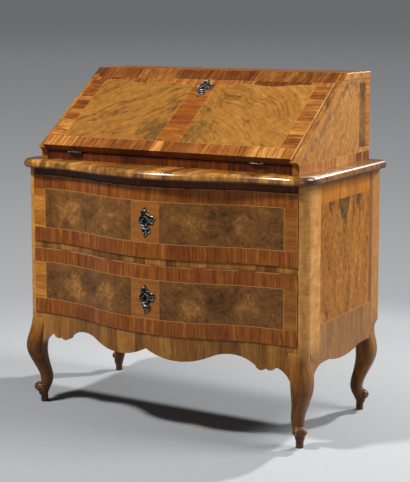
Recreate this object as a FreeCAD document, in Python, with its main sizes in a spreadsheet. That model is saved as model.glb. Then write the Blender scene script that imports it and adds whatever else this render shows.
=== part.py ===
import FreeCAD, Part
import math
import os
import re

import Sketcher

# A slant-front bureau: a serpentine two-drawer case on cabriole legs, with a sloping desk above.
# Millimetres, +Z up, front towards -Y, origin on the floor under the middle of the ledge board.

doc = FreeCAD.newDocument("slant_front_bureau")
sheet = doc.addObject("Spreadsheet::Sheet", "Sizes")

# Driving dimensions: name, size, meaning
SIZES = [
    # lower case
    ("case_width", 944, "outside of the lower case, side to side"),
    ("case_depth", 503, "back of the case to the drawer fronts at their ends"),
    ("bow_rise", 73, "how far the serpentine front comes forward at the middle"),
    ("bow_straight", 72, "straight run of the front beside each case side"),
    ("post_width", 27, "corner post, side to side"),
    ("post_depth", 61.5, "front corner post, front to back"),
    ("back_post_depth", 58.5, "back corner post, front to back"),
    ("corner_round", 25, "rounded outer corner of a front post"),
    ("back_corner_round", 4, "eased outer corner of a back post"),
    ("side_thick", 26, "side panel of the lower case"),
    ("back_thick", 12, "back panels"),
    ("bottom_top", 289.5, "floor to the top of the bottom board"),
    ("bottom_thick", 18, "bottom board"),
    ("lower_drawer_height", 199, "front of the lower drawer"),
    ("upper_drawer_height", 203, "front of the upper drawer"),
    ("drawer_reveal", 1, "gap above and below a drawer front"),
    ("rail_thick", 18, "rail between the drawers"),
    ("rail_depth", 48, "rails behind the case front"),
    ("rail_setback", 3, "rails, posts and apron behind the drawer fronts"),
    ("top_rail_height", 21.5, "rail above the upper drawer"),
    ("dust_thick", 12, "dust board between the drawers"),
    ("ledge_thick", 25, "moulded ledge board"),
    ("ledge_over_front", 28, "ledge beyond the drawer fronts"),
    ("ledge_over_side", 18, "ledge beyond the case sides"),
    ("ledge_corner", 60, "ledge front corners in plan"),
    ("ledge_round_top", 15.5, "ledge moulding, upper round"),
    ("ledge_round_under", 8, "ledge moulding, lower round"),
    ("joint_gap", 0.2, "glue line between fixed boards"),
    # aprons
    ("apron_thick", 24, "front apron"),
    ("apron_cusp_drop", 42.5, "apron at its middle cusp, below the bottom board's top"),
    ("apron_bend_share", 0.4646, "where lobe turns into arch, as part of the apron's half length"),
    ("apron_bend_drop", 50.7, "depth of the apron there"),
    ("apron_lobe_radius", 212, "round of each lobe"),
    ("apron_arch_in", 95.3, "apron's end to the outer foot of the arch"),
    ("apron_arch_drop", 65, "depth of the apron there"),
    ("apron_arch_radius", 117, "round of each arch"),
    ("scallop_in", 64.3, "apron's end to the notch between the scallops"),
    ("scallop_drop", 70, "depth of the apron at that notch"),
    ("scallop_radius", 18, "round of the scallops"),
    ("spandrel_in", 35.3, "apron's end to the last notch"),
    ("spandrel_drop", 63, "depth of the apron at the last notch"),
    ("spandrel_end_drop", 128, "depth of the last arch, inside the leg"),
    ("apron_tuck", 16, "apron let in beside the leg, beyond its head"),
    ("spandrel_radius", 66, "round of the last arch"),
    ("side_lobe_drop", 75, "side panel's hanging lobe below the bottom board's top"),
    ("side_arch_drop", 61, "side panel beside the legs"),
    ("side_lobe_half", 105, "half length of the side's hanging lobe"),
    ("side_foot_in", 45, "front post to the start of the side panel's arch"),
    ("side_foot_drop", 64, "depth of that arch, inside the leg"),
    ("side_tuck", 30, "side panel behind the leg heads, beyond the posts"),
    # legs
    ("foot_inset", 32, "foot centre inside the case corner"),
    ("back_foot_inset", 58, "back foot centre in front of the back"),
    ("section_round", 0.72, "corner of a leg section as part of its half width"),
    ("knee_inner_round", 0.6, "inner corners of the knee, as part of its half width"),
    ("collar_inner_round", 0.4, "inner corners of the collar, as part of its half width"),
    ("neck_inner_round", 0.25, "inner corners of the neck, as part of its half width"),
    ("head_width", 58.5, "leg head, side to side"),
    ("head_round", 6, "inner corners of the leg head"),
    ("peg_half", 10, "half width of the foot peg"),
    ("peg_top_z", 17, "height of the foot peg"),
    ("pad_z", 38, "height of the foot pad"),
    ("pad_half", 14.5, "half width of the foot pad"),
    ("pad_front_out", 2, "foot pad of a front leg, forward"),
    ("ankle_z", 70, "height of the ankle"),
    ("ankle_half", 17, "half width of the ankle"),
    ("ankle_side_in", 8, "ankle, inward"),
    ("ankle_front_in", 3, "ankle of a front leg, backward"),
    ("ankle_back_in", 7, "ankle of a back leg, forward"),
    ("shin_z", 100, "height of the shin"),
    ("shin_half", 19.4, "half width of the shin"),
    ("shin_side_in", 3.5, "shin, inward"),
    ("shin_back_in", 5, "shin of a back leg, forward"),
    ("calf_z", 135, "height of the calf"),
    ("calf_half", 24, "half width of the calf"),
    ("calf_side_out", 7, "calf, outward"),
    ("calf_front_out", 9, "calf of a front leg, forward"),
    ("calf_back_out", 5, "calf of a back leg, backward"),
    ("knee_z", 182, "height of the knee"),
    ("knee_half", 29, "half width of the knee"),
    ("knee_side_out", 14, "knee, outward"),
    ("knee_front_out", 16, "knee of a front leg, forward"),
    ("knee_back_out", 14, "knee of a back leg, backward"),
    ("collar_z", 228, "height of the collar above the knee"),
    ("collar_half", 28.3, "half width of the collar"),
    ("collar_side_out", 7, "collar, outward"),
    ("collar_front_out", 8, "collar of a front leg, forward"),
    ("collar_back_out", 16, "collar of a back leg, backward"),
    ("neck_z", 252, "height of the neck under the head"),
    ("neck_half", 28.2, "half width of the neck"),
    ("neck_side_out", 3, "neck, outward"),
    ("neck_front_out", 3.5, "neck of a front leg, forward"),
    ("neck_back_out", 20, "neck of a back leg, backward"),
    ("toe_z", 48, "height of the toe scroll"),
    ("toe_radius", 14.5, "radius of the toe scroll"),
    ("toe_length", 40, "length of the toe scroll"),
    ("front_toe_out", 15, "toe scroll before the foot centre, front legs"),
    ("front_toe_turn", 26, "front toes turned outward, degrees"),
    ("back_toe_out", 10.5, "toe scroll behind the foot centre, back legs"),
    ("back_toe_turn", 45, "back toes turned outward, degrees"),
    # upper case
    ("desk_inset", 38, "desk sides inside the case sides"),
    ("upper_height", 264, "ledge to the top of the desk"),
    ("upper_side_thick", 21, "desk sides"),
    ("top_depth", 164, "flat top, back to front edge"),
    ("top_thick", 20, "top board"),
    ("slope_angle", 34.8, "slope of the desk front"),
    ("strip_length", 53, "fixed strip of the slope above the flap"),
    ("strip_thick", 20, "slanted rail under the strip"),
    ("nose_over", 18, "side noses in front of the desk rail"),
    ("nose_foot", 23, "ledge to the foot of the noses"),
    ("nose_radius", 24, "hollow under the noses"),
    ("desk_rail_thick", 22, "rail under the flap"),
    ("bed_thick", 18, "writing bed"),
    # flap and its hinges
    ("flap_thick", 21.5, "flap"),
    ("flap_proud", 7, "flap face above the slanted side edges"),
    ("flap_lip_over", 4, "lip over each side"),
    ("flap_lip_rest", 0.6, "lip above the side edges"),
    ("flap_side_gap", 0.7, "flap inside the desk sides"),
    ("flap_top_gap", 0.8, "flap under the fixed strip"),
    ("flap_edge_gap", 2.5, "hinge axis to the flap's lower edge"),
    ("flap_round", 5.5, "rounded edge of the lips"),
    ("open_clear", 1, "open flap above the ledge"),
    ("hinge_clear", 1.5, "hinge axis to the flap's inner face"),
    ("hinge_stand", 6, "hinge axis in front of the desk rail"),
    ("hinge_x", 306, "middle to each hinge"),
    ("hinge_width", 46, "hinge leaf, side to side"),
    ("hinge_leaf", 2, "thickness of a leaf"),
    ("hinge_leaf_depth", 24, "leaf, beyond the axis"),
    ("knuckle_radius", 3.5, "hinge knuckle"),
    ("knuckle_width", 17, "middle knuckle"),
    ("knuckle_gap", 0.3, "between knuckles"),
    ("pin_radius", 1.5, "hinge pin"),
    ("pin_clear", 0.05, "hinge pin's running fit"),
    ("screw_radius", 1.6, "hinge screw shank"),
    ("screw_head", 3, "hinge screw head radius"),
    ("screw_head_thick", 0.7, "hinge screw head above its leaf"),
    ("screw_length", 14, "hinge screw"),
    ("screw_spread", 15, "hinge screws either side of the middle"),
    ("screw_reach", 16, "hinge screws beyond the axis"),
    ("screw_clear", 0.1, "round a screw"),
    # drawers
    ("front_thick", 26, "drawer front"),
    ("drawer_side_thick", 12, "drawer sides and backs"),
    ("drawer_bottom_thick", 8, "drawer bottom"),
    ("drawer_bottom_lift", 5, "drawer bottom above the side's lower edge"),
    ("drawer_side_drop", 12, "drawer side below the top of the front"),
    ("drawer_side_gap", 1, "drawer beside the posts"),
    ("drawer_back_gap", 20, "drawer in front of the back panel"),
    ("run_clear", 0.3, "sliding clearance"),
    # locks and plates
    ("lock_width", 64, "lock case"),
    ("lock_below_key", 16, "lock case below its key hole"),
    ("lock_thick", 13, "lock case"),
    ("bolt_width", 16, "lock bolt"),
    ("bolt_thick", 6, "lock bolt"),
    ("bolt_length", 22, "lock bolt"),
    ("bolt_throw", 7, "travel of the bolt"),
    ("bolt_clear", 0.4, "bolt in its slot"),
    ("bolt_sink", 0.5, "drawn-in bolt below its edge"),
    ("key_radius", 4, "key hole"),
    ("plate_width", 50, "key plate"),
    ("plate_height", 84, "key plate"),
    ("plate_thick", 2.4, "key plate"),
    ("flap_plate_down", 46, "flap's upper edge to the middle of its key plate"),
    # desk fittings
    ("cubby_depth", 138, "pigeonholes, front to back"),
    ("bay_width", 255, "side bays"),
    ("partition_thick", 12, "upright partitions"),
    ("shelf_thick", 10, "shelves over the small drawers"),
    ("small_height", 82, "small drawer fronts"),
    ("small_wall", 8, "small drawer boards"),
    ("small_front_thick", 14, "small drawer fronts"),
    ("small_gap", 1, "gap round a small drawer"),
    ("knob_radius", 8, "small drawer knob"),
    ("knob_length", 16, "small drawer knob"),
    ("knob_neck", 4, "neck of the knob"),
]
for row, (alias, size, meaning) in enumerate(SIZES, start=1):
    sheet.set("A%d" % row, meaning)
    sheet.set("B%d" % row, str(size))
    sheet.setAlias("B%d" % row, alias)
doc.recompute()

# Worked-out dimensions, from the driving ones
DERIVED = {
    "back": "(case_depth + bow_rise + ledge_over_front)/2",
    "case_half": "case_width/2",
    "bow_half": "case_half - bow_straight",
    "opening_half": "case_half - post_width",
    "face": "back - case_depth",
    "panel_front": "back - back_thick",
    "lower_drawer_z": "bottom_top + drawer_reveal",
    "rail_z": "lower_drawer_z + lower_drawer_height + drawer_reveal",
    "dust_top": "rail_z + rail_thick",
    "upper_drawer_z": "dust_top + drawer_reveal",
    "top_rail_z": "upper_drawer_z + upper_drawer_height + drawer_reveal",
    "ledge_z": "top_rail_z + top_rail_height",
    "ledge_top": "ledge_z + ledge_thick",
    "head_z": "bottom_top - bottom_thick",
    "bow_radius": "((bow_half/2)^2 + (bow_rise/2)^2)/bow_rise",
    "bow_sine": "bow_half/2/bow_radius",
    "bow_cosine": "sqrt(1 - bow_sine^2)",
    "upper_half": "case_half - desk_inset",
    "desk_half": "upper_half - upper_side_thick",
    "top_z": "ledge_top + upper_height",
    "under_top": "top_z - top_thick",
    "slope_sine": "sin(slope_angle*1deg)",
    "slope_cosine": "cos(slope_angle*1deg)",
    "hinge_height": "flap_thick + hinge_clear + open_clear",
    "hinge_sink": "flap_thick - flap_proud + hinge_clear",
    "hinge_down": "(upper_height - hinge_sink*slope_cosine - hinge_height)/slope_sine",
    "hinge_reach": "top_depth + hinge_down*slope_cosine - hinge_sink*slope_sine",
    "hinge_y": "back - hinge_reach",
    "hinge_z": "ledge_top + hinge_height",
    "rail_y": "hinge_y + hinge_stand",
    "nose_y": "rail_y - nose_over",
    "nose_z": "top_z - (back - top_depth - nose_y)*slope_sine/slope_cosine",
    "slope_y_under_top": "back - top_depth - top_thick*slope_cosine/slope_sine",
    "bed_top": "hinge_z",
    "flap_length": "hinge_down - flap_edge_gap - flap_top_gap - strip_length",
    "flap_half": "desk_half - flap_side_gap",
    "flap_top": "flap_edge_gap + flap_length",
    "cubby_front": "panel_front - cubby_depth",
    "bay_edge": "desk_half - bay_width",
    "small_z": "bed_top + small_gap",
    "shelf_z": "small_z + small_height + small_gap",
}
NAME_PATTERN = re.compile(r"[A-Za-z_][A-Za-z_0-9]*")
ALIASES = {alias for alias, size, meaning in SIZES}


def bound(text):
    """The expression with every worked-out name spelt in cells of the sheet."""

    def swap(match):
        name = match.group(0)
        if name in DERIVED:
            return "(" + bound(DERIVED[name]) + ")"
        return "Sizes." + name if name in ALIASES else name

    return NAME_PATTERN.sub(swap, text)


def value(text):
    """The present size of an expression."""
    return float(sheet.evalExpression(bound(text)))


def bind(thing, prop, text):
    thing.setExpression(prop, bound(text))


def place(thing, x="0", y="0", z="0"):
    """Ties the object's position to the sheet."""
    for axis, text in zip("xyz", (x, y, z)):
        if text != "0":
            bind(thing, "Placement.Base." + axis, text)


def slope_place(thing):
    """Sets an object drawn in the flap's own frame, hinge axis at its origin, on the slope."""
    thing.Placement = FreeCAD.Placement(FreeCAD.Vector(), FreeCAD.Rotation(FreeCAD.Vector(1, 0, 0), 10))
    place(thing, "0", "hinge_y", "hinge_z")
    bind(thing, "Placement.Rotation.Angle", "slope_angle")


def box(name, low, high):
    """A board from one corner to the other, each given as three expressions."""
    board = doc.addObject("Part::Box", name)
    place(board, *low)
    for prop, start, end in zip(("Length", "Width", "Height"), low, high):
        bind(board, prop, "(%s) - (%s)" % (end, start))
    return board


def cylinder(name, radius, length, at, axis, angle=90):
    """A round bar from a point, turned from +Z about the axis."""
    bar = doc.addObject("Part::Cylinder", name)
    bind(bar, "Radius", radius)
    bind(bar, "Height", length)
    bar.Placement = FreeCAD.Placement(FreeCAD.Vector(), FreeCAD.Rotation(FreeCAD.Vector(*axis), angle))
    place(bar, *at)
    return bar


def join(name, pieces):
    fused = doc.addObject("Part::MultiFuse", name)
    fused.Shapes = pieces
    return fused


def cut(name, base, tool):
    result = doc.addObject("Part::Cut", name)
    result.Base = base
    result.Tool = tool
    return result


def common(name, base, tool):
    result = doc.addObject("Part::Common", name)
    result.Base = base
    result.Tool = tool
    return result


def compound(name, pieces):
    """Separate solids kept in one node."""
    group = doc.addObject("Part::Compound", name)
    group.Links = pieces
    return group


def mirror(name, source):
    """The same piece on the other side of the middle."""
    copy = doc.addObject("Part::Mirroring", name)
    copy.Source = source
    copy.Normal = FreeCAD.Vector(1, 0, 0)
    return copy


def arc_edge(start, end, radius, turn):
    """A short arc between two points, turning left (+1) or right (-1)."""
    chord = end - start
    side = FreeCAD.Vector(-chord.y, chord.x, 0) * (turn / chord.Length)
    centre = (start + end) * 0.5 + side * math.sqrt(max(radius**2 - chord.Length**2 / 4, 0))
    first, last = (start, end) if turn > 0 else (end, start)
    angles = [math.atan2(p.y - centre.y, p.x - centre.x) for p in (first, last)]
    if angles[1] < angles[0]:
        angles[1] += 2 * math.pi
    return Part.ArcOfCircle(Part.Circle(centre, FreeCAD.Vector(0, 0, 1), radius), *angles)


def draw(sketch, points, arcs):
    """Draws a closed outline of lines and arcs, every corner and radius tied to the sheet."""
    spots = [FreeCAD.Vector(value(x), value(y), 0) for x, y in points]
    count = len(points)
    ends = []
    for i in range(count):
        start, end = spots[i], spots[(i + 1) % count]
        if i in arcs:
            radius, turn = arcs[i]
            sketch.addGeometry(arc_edge(start, end, value(radius), turn))
            ends.append((1, 2) if turn > 0 else (2, 1))
        else:
            sketch.addGeometry(Part.LineSegment(start, end))
            ends.append((1, 2))
    for i in range(count):
        before = (i - 1) % count
        sketch.addConstraint(Sketcher.Constraint("Coincident", before, ends[before][1], i, ends[i][0]))
    for i, (x, y) in enumerate(points):
        for kind, text in (("DistanceX", x), ("DistanceY", y)):
            limit = Sketcher.Constraint(kind, -1, 1, i, ends[i][0], value(text))
            bind(sketch, "Constraints[%d]" % sketch.addConstraint(limit), text)
    for i, (radius, turn) in arcs.items():
        limit = Sketcher.Constraint("Radius", i, value(radius))
        bind(sketch, "Constraints[%d]" % sketch.addConstraint(limit), radius)
    return sketch


def padded(name, plane, points, arcs, length, reverse=False):
    """A body padded from an outline on one of its origin planes."""
    body = doc.addObject("PartDesign::Body", name)
    sketch = body.newObject("Sketcher::SketchObject", name + "_outline")
    face = [feature for feature in body.Origin.OriginFeatures if feature.Role == plane][0]
    sketch.AttachmentSupport = [(face, "")]
    sketch.MapMode = "FlatFace"
    draw(sketch, points, arcs)
    pad = body.newObject("PartDesign::Pad", name + "_pad")
    pad.Profile = sketch
    bind(pad, "Length", length)
    pad.Reversed = reverse
    return body


def rounded_rectangle(x0, y0, x1, y1, radii):
    """Corners and arcs of a rectangle; radii run from the low corner, counter-clockwise."""
    a, b, c, d = ["(%s)" % radius for radius in radii]
    x0, y0, x1, y1 = ["(%s)" % edge for edge in (x0, y0, x1, y1)]
    points = [
        (x0 + "+" + a, y0), (x1 + "-" + b, y0), (x1, y0 + "+" + b), (x1, y1 + "-" + c),
        (x1 + "-" + c, y1), (x0 + "+" + d, y1), (x0, y1 + "-" + d), (x0, y0 + "+" + a),
    ]
    return points, {1: (b, 1), 3: (c, 1), 5: (d, 1), 7: (a, 1)}


def serpentine(half, inset):
    """Front line of the case from left to right, set back by inset from the drawer fronts."""
    bend_x = "(bow_radius - (%s))*bow_sine" % inset
    bend_y = "face - bow_rise + bow_radius - (bow_radius - (%s))*bow_cosine" % inset
    end_y = "face + (%s)" % inset
    points = [
        ("-(%s)" % half, end_y), ("-bow_half", end_y), ("-" + bend_x, bend_y),
        (bend_x, bend_y), ("bow_half", end_y), (half, end_y),
    ]
    hollow = "bow_radius + (%s)" % inset
    crown = "bow_radius - (%s)" % inset
    return points, {1: (hollow, -1), 2: (crown, 1), 3: (hollow, -1)}


def serpentine_board(name, half, inset, back_y, z, thick):
    """A flat board with the serpentine front and a straight back."""
    points, arcs = serpentine(half, inset)
    points += [(half, back_y), ("-(%s)" % half, back_y)]
    board = padded(name, "XY_Plane", points, arcs, thick)
    place(board, z=z)
    return board


def serpentine_strip(name, half, inset, strip, z, height):
    """An upright board of even thickness that follows the serpentine front."""
    points, arcs = serpentine(half, inset)
    rear, rear_arcs = serpentine(half, "(%s) + (%s)" % (inset, strip))
    count = len(points)
    points += rear[::-1]
    for i, (radius, turn) in rear_arcs.items():
        arcs[2 * count - 2 - i] = (radius, -turn)
    board = padded(name, "XY_Plane", points, arcs, height)
    place(board, z=z)
    return board


# Cabriole corner posts

# Height, half width, shifts outward, forward on a front leg, backward on a back leg, and inner corners
LEG_SECTIONS = [
    ("peg_top_z", "peg_half", "0", "0", "0", "section_round"),
    ("pad_z", "pad_half", "0", "pad_front_out", "0", "section_round"),
    ("ankle_z", "ankle_half", "-ankle_side_in", "-ankle_front_in", "-ankle_back_in", "section_round"),
    ("shin_z", "shin_half", "-shin_side_in", "0", "-shin_back_in", "section_round"),
    ("calf_z", "calf_half", "calf_side_out", "calf_front_out", "calf_back_out", "section_round"),
    ("knee_z", "knee_half", "knee_side_out", "knee_front_out", "knee_back_out", "knee_inner_round"),
    (
        "collar_z", "collar_half", "collar_side_out", "collar_front_out", "collar_back_out",
        "collar_inner_round",
    ),
    ("neck_z", "neck_half", "neck_side_out", "neck_front_out", "neck_back_out", "neck_inner_round"),
]


def leg_section(name, z, points, arcs):
    sketch = doc.addObject("Sketcher::SketchObject", name)
    place(sketch, z=z)
    return draw(sketch, points, arcs)


def corner_post(name, front):
    """A left-hand post: a lofted leg on a straight peg, a straight stile above it, and a scrolled toe."""
    outward = "-" if front else "+"
    foot_x = "-(case_half - foot_inset)"
    foot_y = "face + foot_inset" if front else "back - back_foot_inset"
    sections = []
    outer = 0 if front else 3
    for i, (z, half, side_out, front_out, back_out, inner_round) in enumerate(LEG_SECTIONS):
        x = "%s - (%s)" % (foot_x, side_out)
        y = "%s %s (%s)" % (foot_y, outward, front_out if front else back_out)
        radii = ["%s*%s" % (half, inner_round)] * 4
        radii[outer] = half + "*section_round"
        points, arcs = rounded_rectangle(
            "%s - %s" % (x, half), "%s - %s" % (y, half), "%s + %s" % (x, half), "%s + %s" % (y, half),
            radii,
        )
        sections.append(leg_section("%s_section_%d" % (name, i), z, points, arcs))
    low_y = "face + rail_setback" if front else "back - back_post_depth"
    high_y = "face + post_depth" if front else "back"
    radii = ["head_round"] * 4
    radii[outer] = "corner_round" if front else "back_corner_round"
    points, arcs = rounded_rectangle("-case_half", low_y, "-case_half + head_width", high_y, radii)
    sections.append(leg_section(name + "_head", "head_z", points, arcs))
    leg = doc.addObject("Part::Loft", name + "_leg")
    leg.Sections = sections
    leg.Solid = True

    points, arcs = rounded_rectangle(
        "%s - peg_half" % foot_x, "%s - peg_half" % foot_y,
        "%s + peg_half" % foot_x, "%s + peg_half" % foot_y,
        ["peg_half*section_round"] * 4,
    )
    peg = padded(name + "_peg", "XY_Plane", points, arcs, "peg_top_z")

    corners = [("-opening_half", low_y), ("-opening_half", high_y)]
    if front:
        corners += [("-case_half", high_y), ("-case_half", low_y + " + corner_round")]
        corners += [("-case_half + corner_round", low_y)]
        arcs = {3: ("corner_round", 1)}
    else:
        corners += [("-case_half + back_corner_round", high_y)]
        corners += [("-case_half", high_y + " - back_corner_round"), ("-case_half", low_y)]
        arcs = {2: ("back_corner_round", 1)}
    stile = padded(name + "_stile", "XY_Plane", corners, arcs, "ledge_z - head_z")
    place(stile, z="head_z")

    end = "front" if front else "back"
    turn = end + "_toe_turn"
    toe = doc.addObject("Part::Ellipsoid", name + "_toe")
    bind(toe, "Radius1", "toe_radius")
    bind(toe, "Radius2", "toe_length/2")
    bind(toe, "Radius3", "toe_radius")
    toe.Placement = FreeCAD.Placement(FreeCAD.Vector(), FreeCAD.Rotation(FreeCAD.Vector(0, 0, 1), 1))
    toe_x = "%s - %s_toe_out*sin(%s*1deg)" % (foot_x, end, turn)
    toe_y = "%s %s %s_toe_out*cos(%s*1deg)" % (foot_y, outward, end, turn)
    place(toe, toe_x, toe_y, "toe_z")
    bind(toe, "Placement.Rotation.Angle", "-" + turn if front else turn)
    return join(name, [leg, peg, stile, toe])


front_left_post = corner_post("front_left_post", True)
front_right_post = mirror("front_right_post", front_left_post)
back_left_post = corner_post("back_left_post", False)
back_right_post = mirror("back_right_post", back_left_post)
parts = [front_left_post, front_right_post, back_left_post, back_right_post]

# Side panels of the lower case, with a hanging lobe between the legs

panel_low = "(face + post_depth + joint_gap)"
panel_high = "(back - back_post_depth - joint_gap)"
lobe_middle = "(%s + %s)/2" % (panel_low, panel_high)
arch_z = "bottom_top - side_arch_drop"
lobe_rise = "(side_lobe_drop - side_arch_drop)"
lobe_radius = "(side_lobe_half^2 + %s^2)/(2*%s)" % (lobe_rise, lobe_rise)
foot_reach = "(side_foot_in + side_tuck)"
foot_radius = "(%s^2 + side_foot_drop^2)/(2*side_foot_drop)" % foot_reach
side_blank = padded(
    "left_side_panel_blank", "YZ_Plane",
    [
        (panel_low + " - side_tuck", arch_z + " - side_foot_drop"), (panel_low + " + side_foot_in", arch_z),
        (lobe_middle + " - side_lobe_half", arch_z), (lobe_middle + " + side_lobe_half", arch_z),
        (panel_high + " + side_tuck", arch_z),
        (panel_high + " + side_tuck", "head_z"), (panel_high, "head_z"), (panel_high, "ledge_z"),
        (panel_low, "ledge_z"), (panel_low, "head_z"), (panel_low + " - side_tuck", "head_z"),
    ],
    {0: (foot_radius, -1), 2: (lobe_radius, 1)}, "side_thick",
)
place(side_blank, x="-case_half")
side_legs = compound("left_side_panel_legs", [front_left_post, back_left_post])
left_side_panel = cut("left_side_panel", side_blank, side_legs)
parts += [left_side_panel, mirror("right_side_panel", left_side_panel)]

# Back, bottom and dust boards

board_half = "(opening_half - joint_gap)"
parts.append(box(
    "lower_back_panel", ("-" + board_half, "panel_front", "head_z"), (board_half, "back", "ledge_z"),
))
parts.append(serpentine_board(
    "bottom_board", board_half, "rail_setback + apron_thick + joint_gap",
    "panel_front - joint_gap", "head_z", "bottom_thick",
))
parts.append(box(
    "dust_board", ("-" + board_half, "face + rail_depth + joint_gap", "dust_top - dust_thick"),
    (board_half, "panel_front - joint_gap", "dust_top"),
))

# Rails above each drawer, with room for its lock bolt

bolt_y = "(face - bow_rise + front_thick - lock_thick/2)"


def drawer_rail(name, z, thick):
    rail = serpentine_board(name + "_blank", board_half, "rail_setback", "face + rail_depth", z, thick)
    half_x = "(bolt_width/2 + 2*bolt_clear)"
    half_y = "(bolt_thick/2 + 2*bolt_clear)"
    mortise = box(
        name + "_mortise", ("-" + half_x, bolt_y + " - " + half_y, z),
        (half_x, bolt_y + " + " + half_y, z + " + bolt_throw + 2*bolt_clear"),
    )
    return cut(name, rail, mortise)


parts.append(drawer_rail("drawer_rail", "rail_z", "rail_thick"))
parts.append(drawer_rail("top_rail", "top_rail_z", "top_rail_height"))


def round_edges(body, name, radius, wanted):
    """Rounds the edges of the body whose bounding box is wanted."""
    doc.recompute()
    blank = body.Tip
    edges = ["Edge%d" % i for i, edge in enumerate(blank.Shape.Edges, start=1) if wanted(edge.BoundBox)]
    fillet = body.newObject("PartDesign::Fillet", name)
    fillet.Base = (blank, edges)
    bind(fillet, "Radius", radius)


def near(a, b):
    return abs(a - b) < 0.01


def ledge_board():
    """The moulded top of the case: serpentine front, rounded corners and a rounded edge."""
    half = "(case_half + ledge_over_side)"
    points, arcs = serpentine(half + " - ledge_corner", "-ledge_over_front")
    corner_y = "face - ledge_over_front + ledge_corner"
    points += [(half, corner_y), (half, "back"), ("-" + half, "back"), ("-" + half, corner_y)]
    arcs[5] = ("ledge_corner", 1)
    arcs[9] = ("ledge_corner", 1)
    body = padded("ledge_board", "XY_Plane", points, arcs, "ledge_thick")
    place(body, z="ledge_z")
    back = value("back")
    for radius, level in (("ledge_round_top", "ledge_thick"), ("ledge_round_under", "0")):
        height = value(level)
        round_edges(
            body, radius + "_edges", radius,
            lambda span: near(span.ZMin, height) and near(span.ZMax, height) and not near(span.YMin, back),
        )
    return body


parts.append(ledge_board())


def front_apron():
    """The shaped board under the lower drawer, let in between the legs and over their heads."""
    end_x = "(case_half - head_width - joint_gap)"
    ear_x = "(opening_half - joint_gap)"
    ear_z = "head_z + joint_gap"
    tuck_z = "(neck_z + 3*head_z)/4"
    foot_z = "bottom_top - spandrel_end_drop"
    right = [
        ("apron_bend_share*" + end_x, "bottom_top - apron_bend_drop"),
        ("(%s - apron_arch_in)" % end_x, "bottom_top - apron_arch_drop"),
        ("(%s - scallop_in)" % end_x, "bottom_top - scallop_drop"),
        ("(%s - spandrel_in)" % end_x, "bottom_top - spandrel_drop"),
        (end_x + " + apron_tuck", foot_z),
    ]
    rounds = [
        ("apron_lobe_radius", 1), ("apron_arch_radius", -1), ("scallop_radius", 1),
        ("scallop_radius", 1), ("spandrel_radius", -1),
    ]
    left = [("-(%s)" % x, z) for x, z in right[::-1]]
    points = left + [("0", "bottom_top - apron_cusp_drop")] + right
    right_end = [
        (end_x + " + apron_tuck", tuck_z), (end_x, tuck_z),
        (end_x, ear_z), (ear_x, ear_z), (ear_x, "bottom_top"),
    ]
    points += right_end + [("-(%s)" % x, z) for x, z in reversed(right_end)]
    arcs = dict(enumerate(rounds[::-1] + rounds))
    outline = padded("front_apron_outline", "XZ_Plane", points, arcs, "case_depth + 2*bow_rise")
    strip = serpentine_strip(
        "front_apron_strip", ear_x, "rail_setback", "apron_thick",
        "bottom_top - 2*spandrel_end_drop", "2*spandrel_end_drop",
    )
    legs = compound("front_apron_legs", [front_left_post, front_right_post])
    return cut("front_apron", common("front_apron_blank", strip, outline), legs)


parts.append(front_apron())

# Desk sides, top, back, rails and bed

inner_half = "(desk_half - joint_gap)"
upper_left_side = padded(
    "upper_left_side", "YZ_Plane",
    [
        ("rail_y", "ledge_top"), ("back", "ledge_top"), ("back", "under_top"),
        ("slope_y_under_top", "under_top"), ("nose_y", "nose_z"), ("rail_y", "ledge_top + nose_foot"),
    ],
    {4: ("nose_radius", -1)}, "upper_side_thick",
)
place(upper_left_side, x="-upper_half")
parts += [upper_left_side, mirror("upper_right_side", upper_left_side)]

upper_top = padded(
    "upper_top", "YZ_Plane",
    [
        ("slope_y_under_top", "under_top"), ("back", "under_top"),
        ("back", "top_z"), ("back - top_depth", "top_z"),
    ],
    {}, "2*upper_half",
)
place(upper_top, x="-upper_half")
parts.append(upper_top)
parts.append(box(
    "upper_back_panel", ("-" + inner_half, "panel_front", "ledge_top"), (inner_half, "back", "under_top"),
))
parts.append(box(
    "writing_bed", ("-" + inner_half, "rail_y + desk_rail_thick + joint_gap", "bed_top - bed_thick"),
    (inner_half, "panel_front - joint_gap", "bed_top"),
))


def on_slope(down, inward):
    """A point given by its distance down the slope and behind it."""
    y = "back - top_depth - (%s)*slope_cosine + (%s)*slope_sine" % (down, inward)
    z = "top_z - (%s)*slope_sine - (%s)*slope_cosine" % (down, inward)
    return y, z


slant = padded(
    "slant_rail_blank", "YZ_Plane",
    [
        ("slope_y_under_top", "under_top"), on_slope("strip_length", "0"),
        on_slope("strip_length", "strip_thick"),
        on_slope("(top_thick - strip_thick*slope_cosine)/slope_sine", "strip_thick"),
    ],
    {}, "2*" + inner_half,
)
place(slant, x="-" + inner_half)
flap_bolt_z = "(hinge_clear + lock_thick/2)"
slant_mortise = compound("slant_rail_mortise", [box(
    "slant_rail_mortise_room",
    ("-(bolt_width/2 + 2*bolt_clear)", "flap_top", flap_bolt_z + " - bolt_thick/2 - 2*bolt_clear"),
    (
        "bolt_width/2 + 2*bolt_clear", "flap_top + flap_top_gap + bolt_throw + 2*bolt_clear",
        flap_bolt_z + " + bolt_thick/2 + 2*bolt_clear",
    ),
)])
slope_place(slant_mortise)
parts.append(cut("slant_rail", slant, slant_mortise))

# Hinges: fixed leaves let into the desk rail, moving ones into the flap

HINGES = (("left", "-hinge_x"), ("right", "hinge_x"))


def hinge_bar(name, radius, x, start, end, y, z):
    """A round bar along a hinge axis, from start to end either way from the hinge's middle."""
    return cylinder(name, radius, "(%s) - (%s)" % (end, start), ("%s + (%s)" % (x, start), y, z), (0, 1, 0))


def screw_spots(x):
    return ["%s %s screw_spread" % (x, sign) for sign in "-+"]


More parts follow.
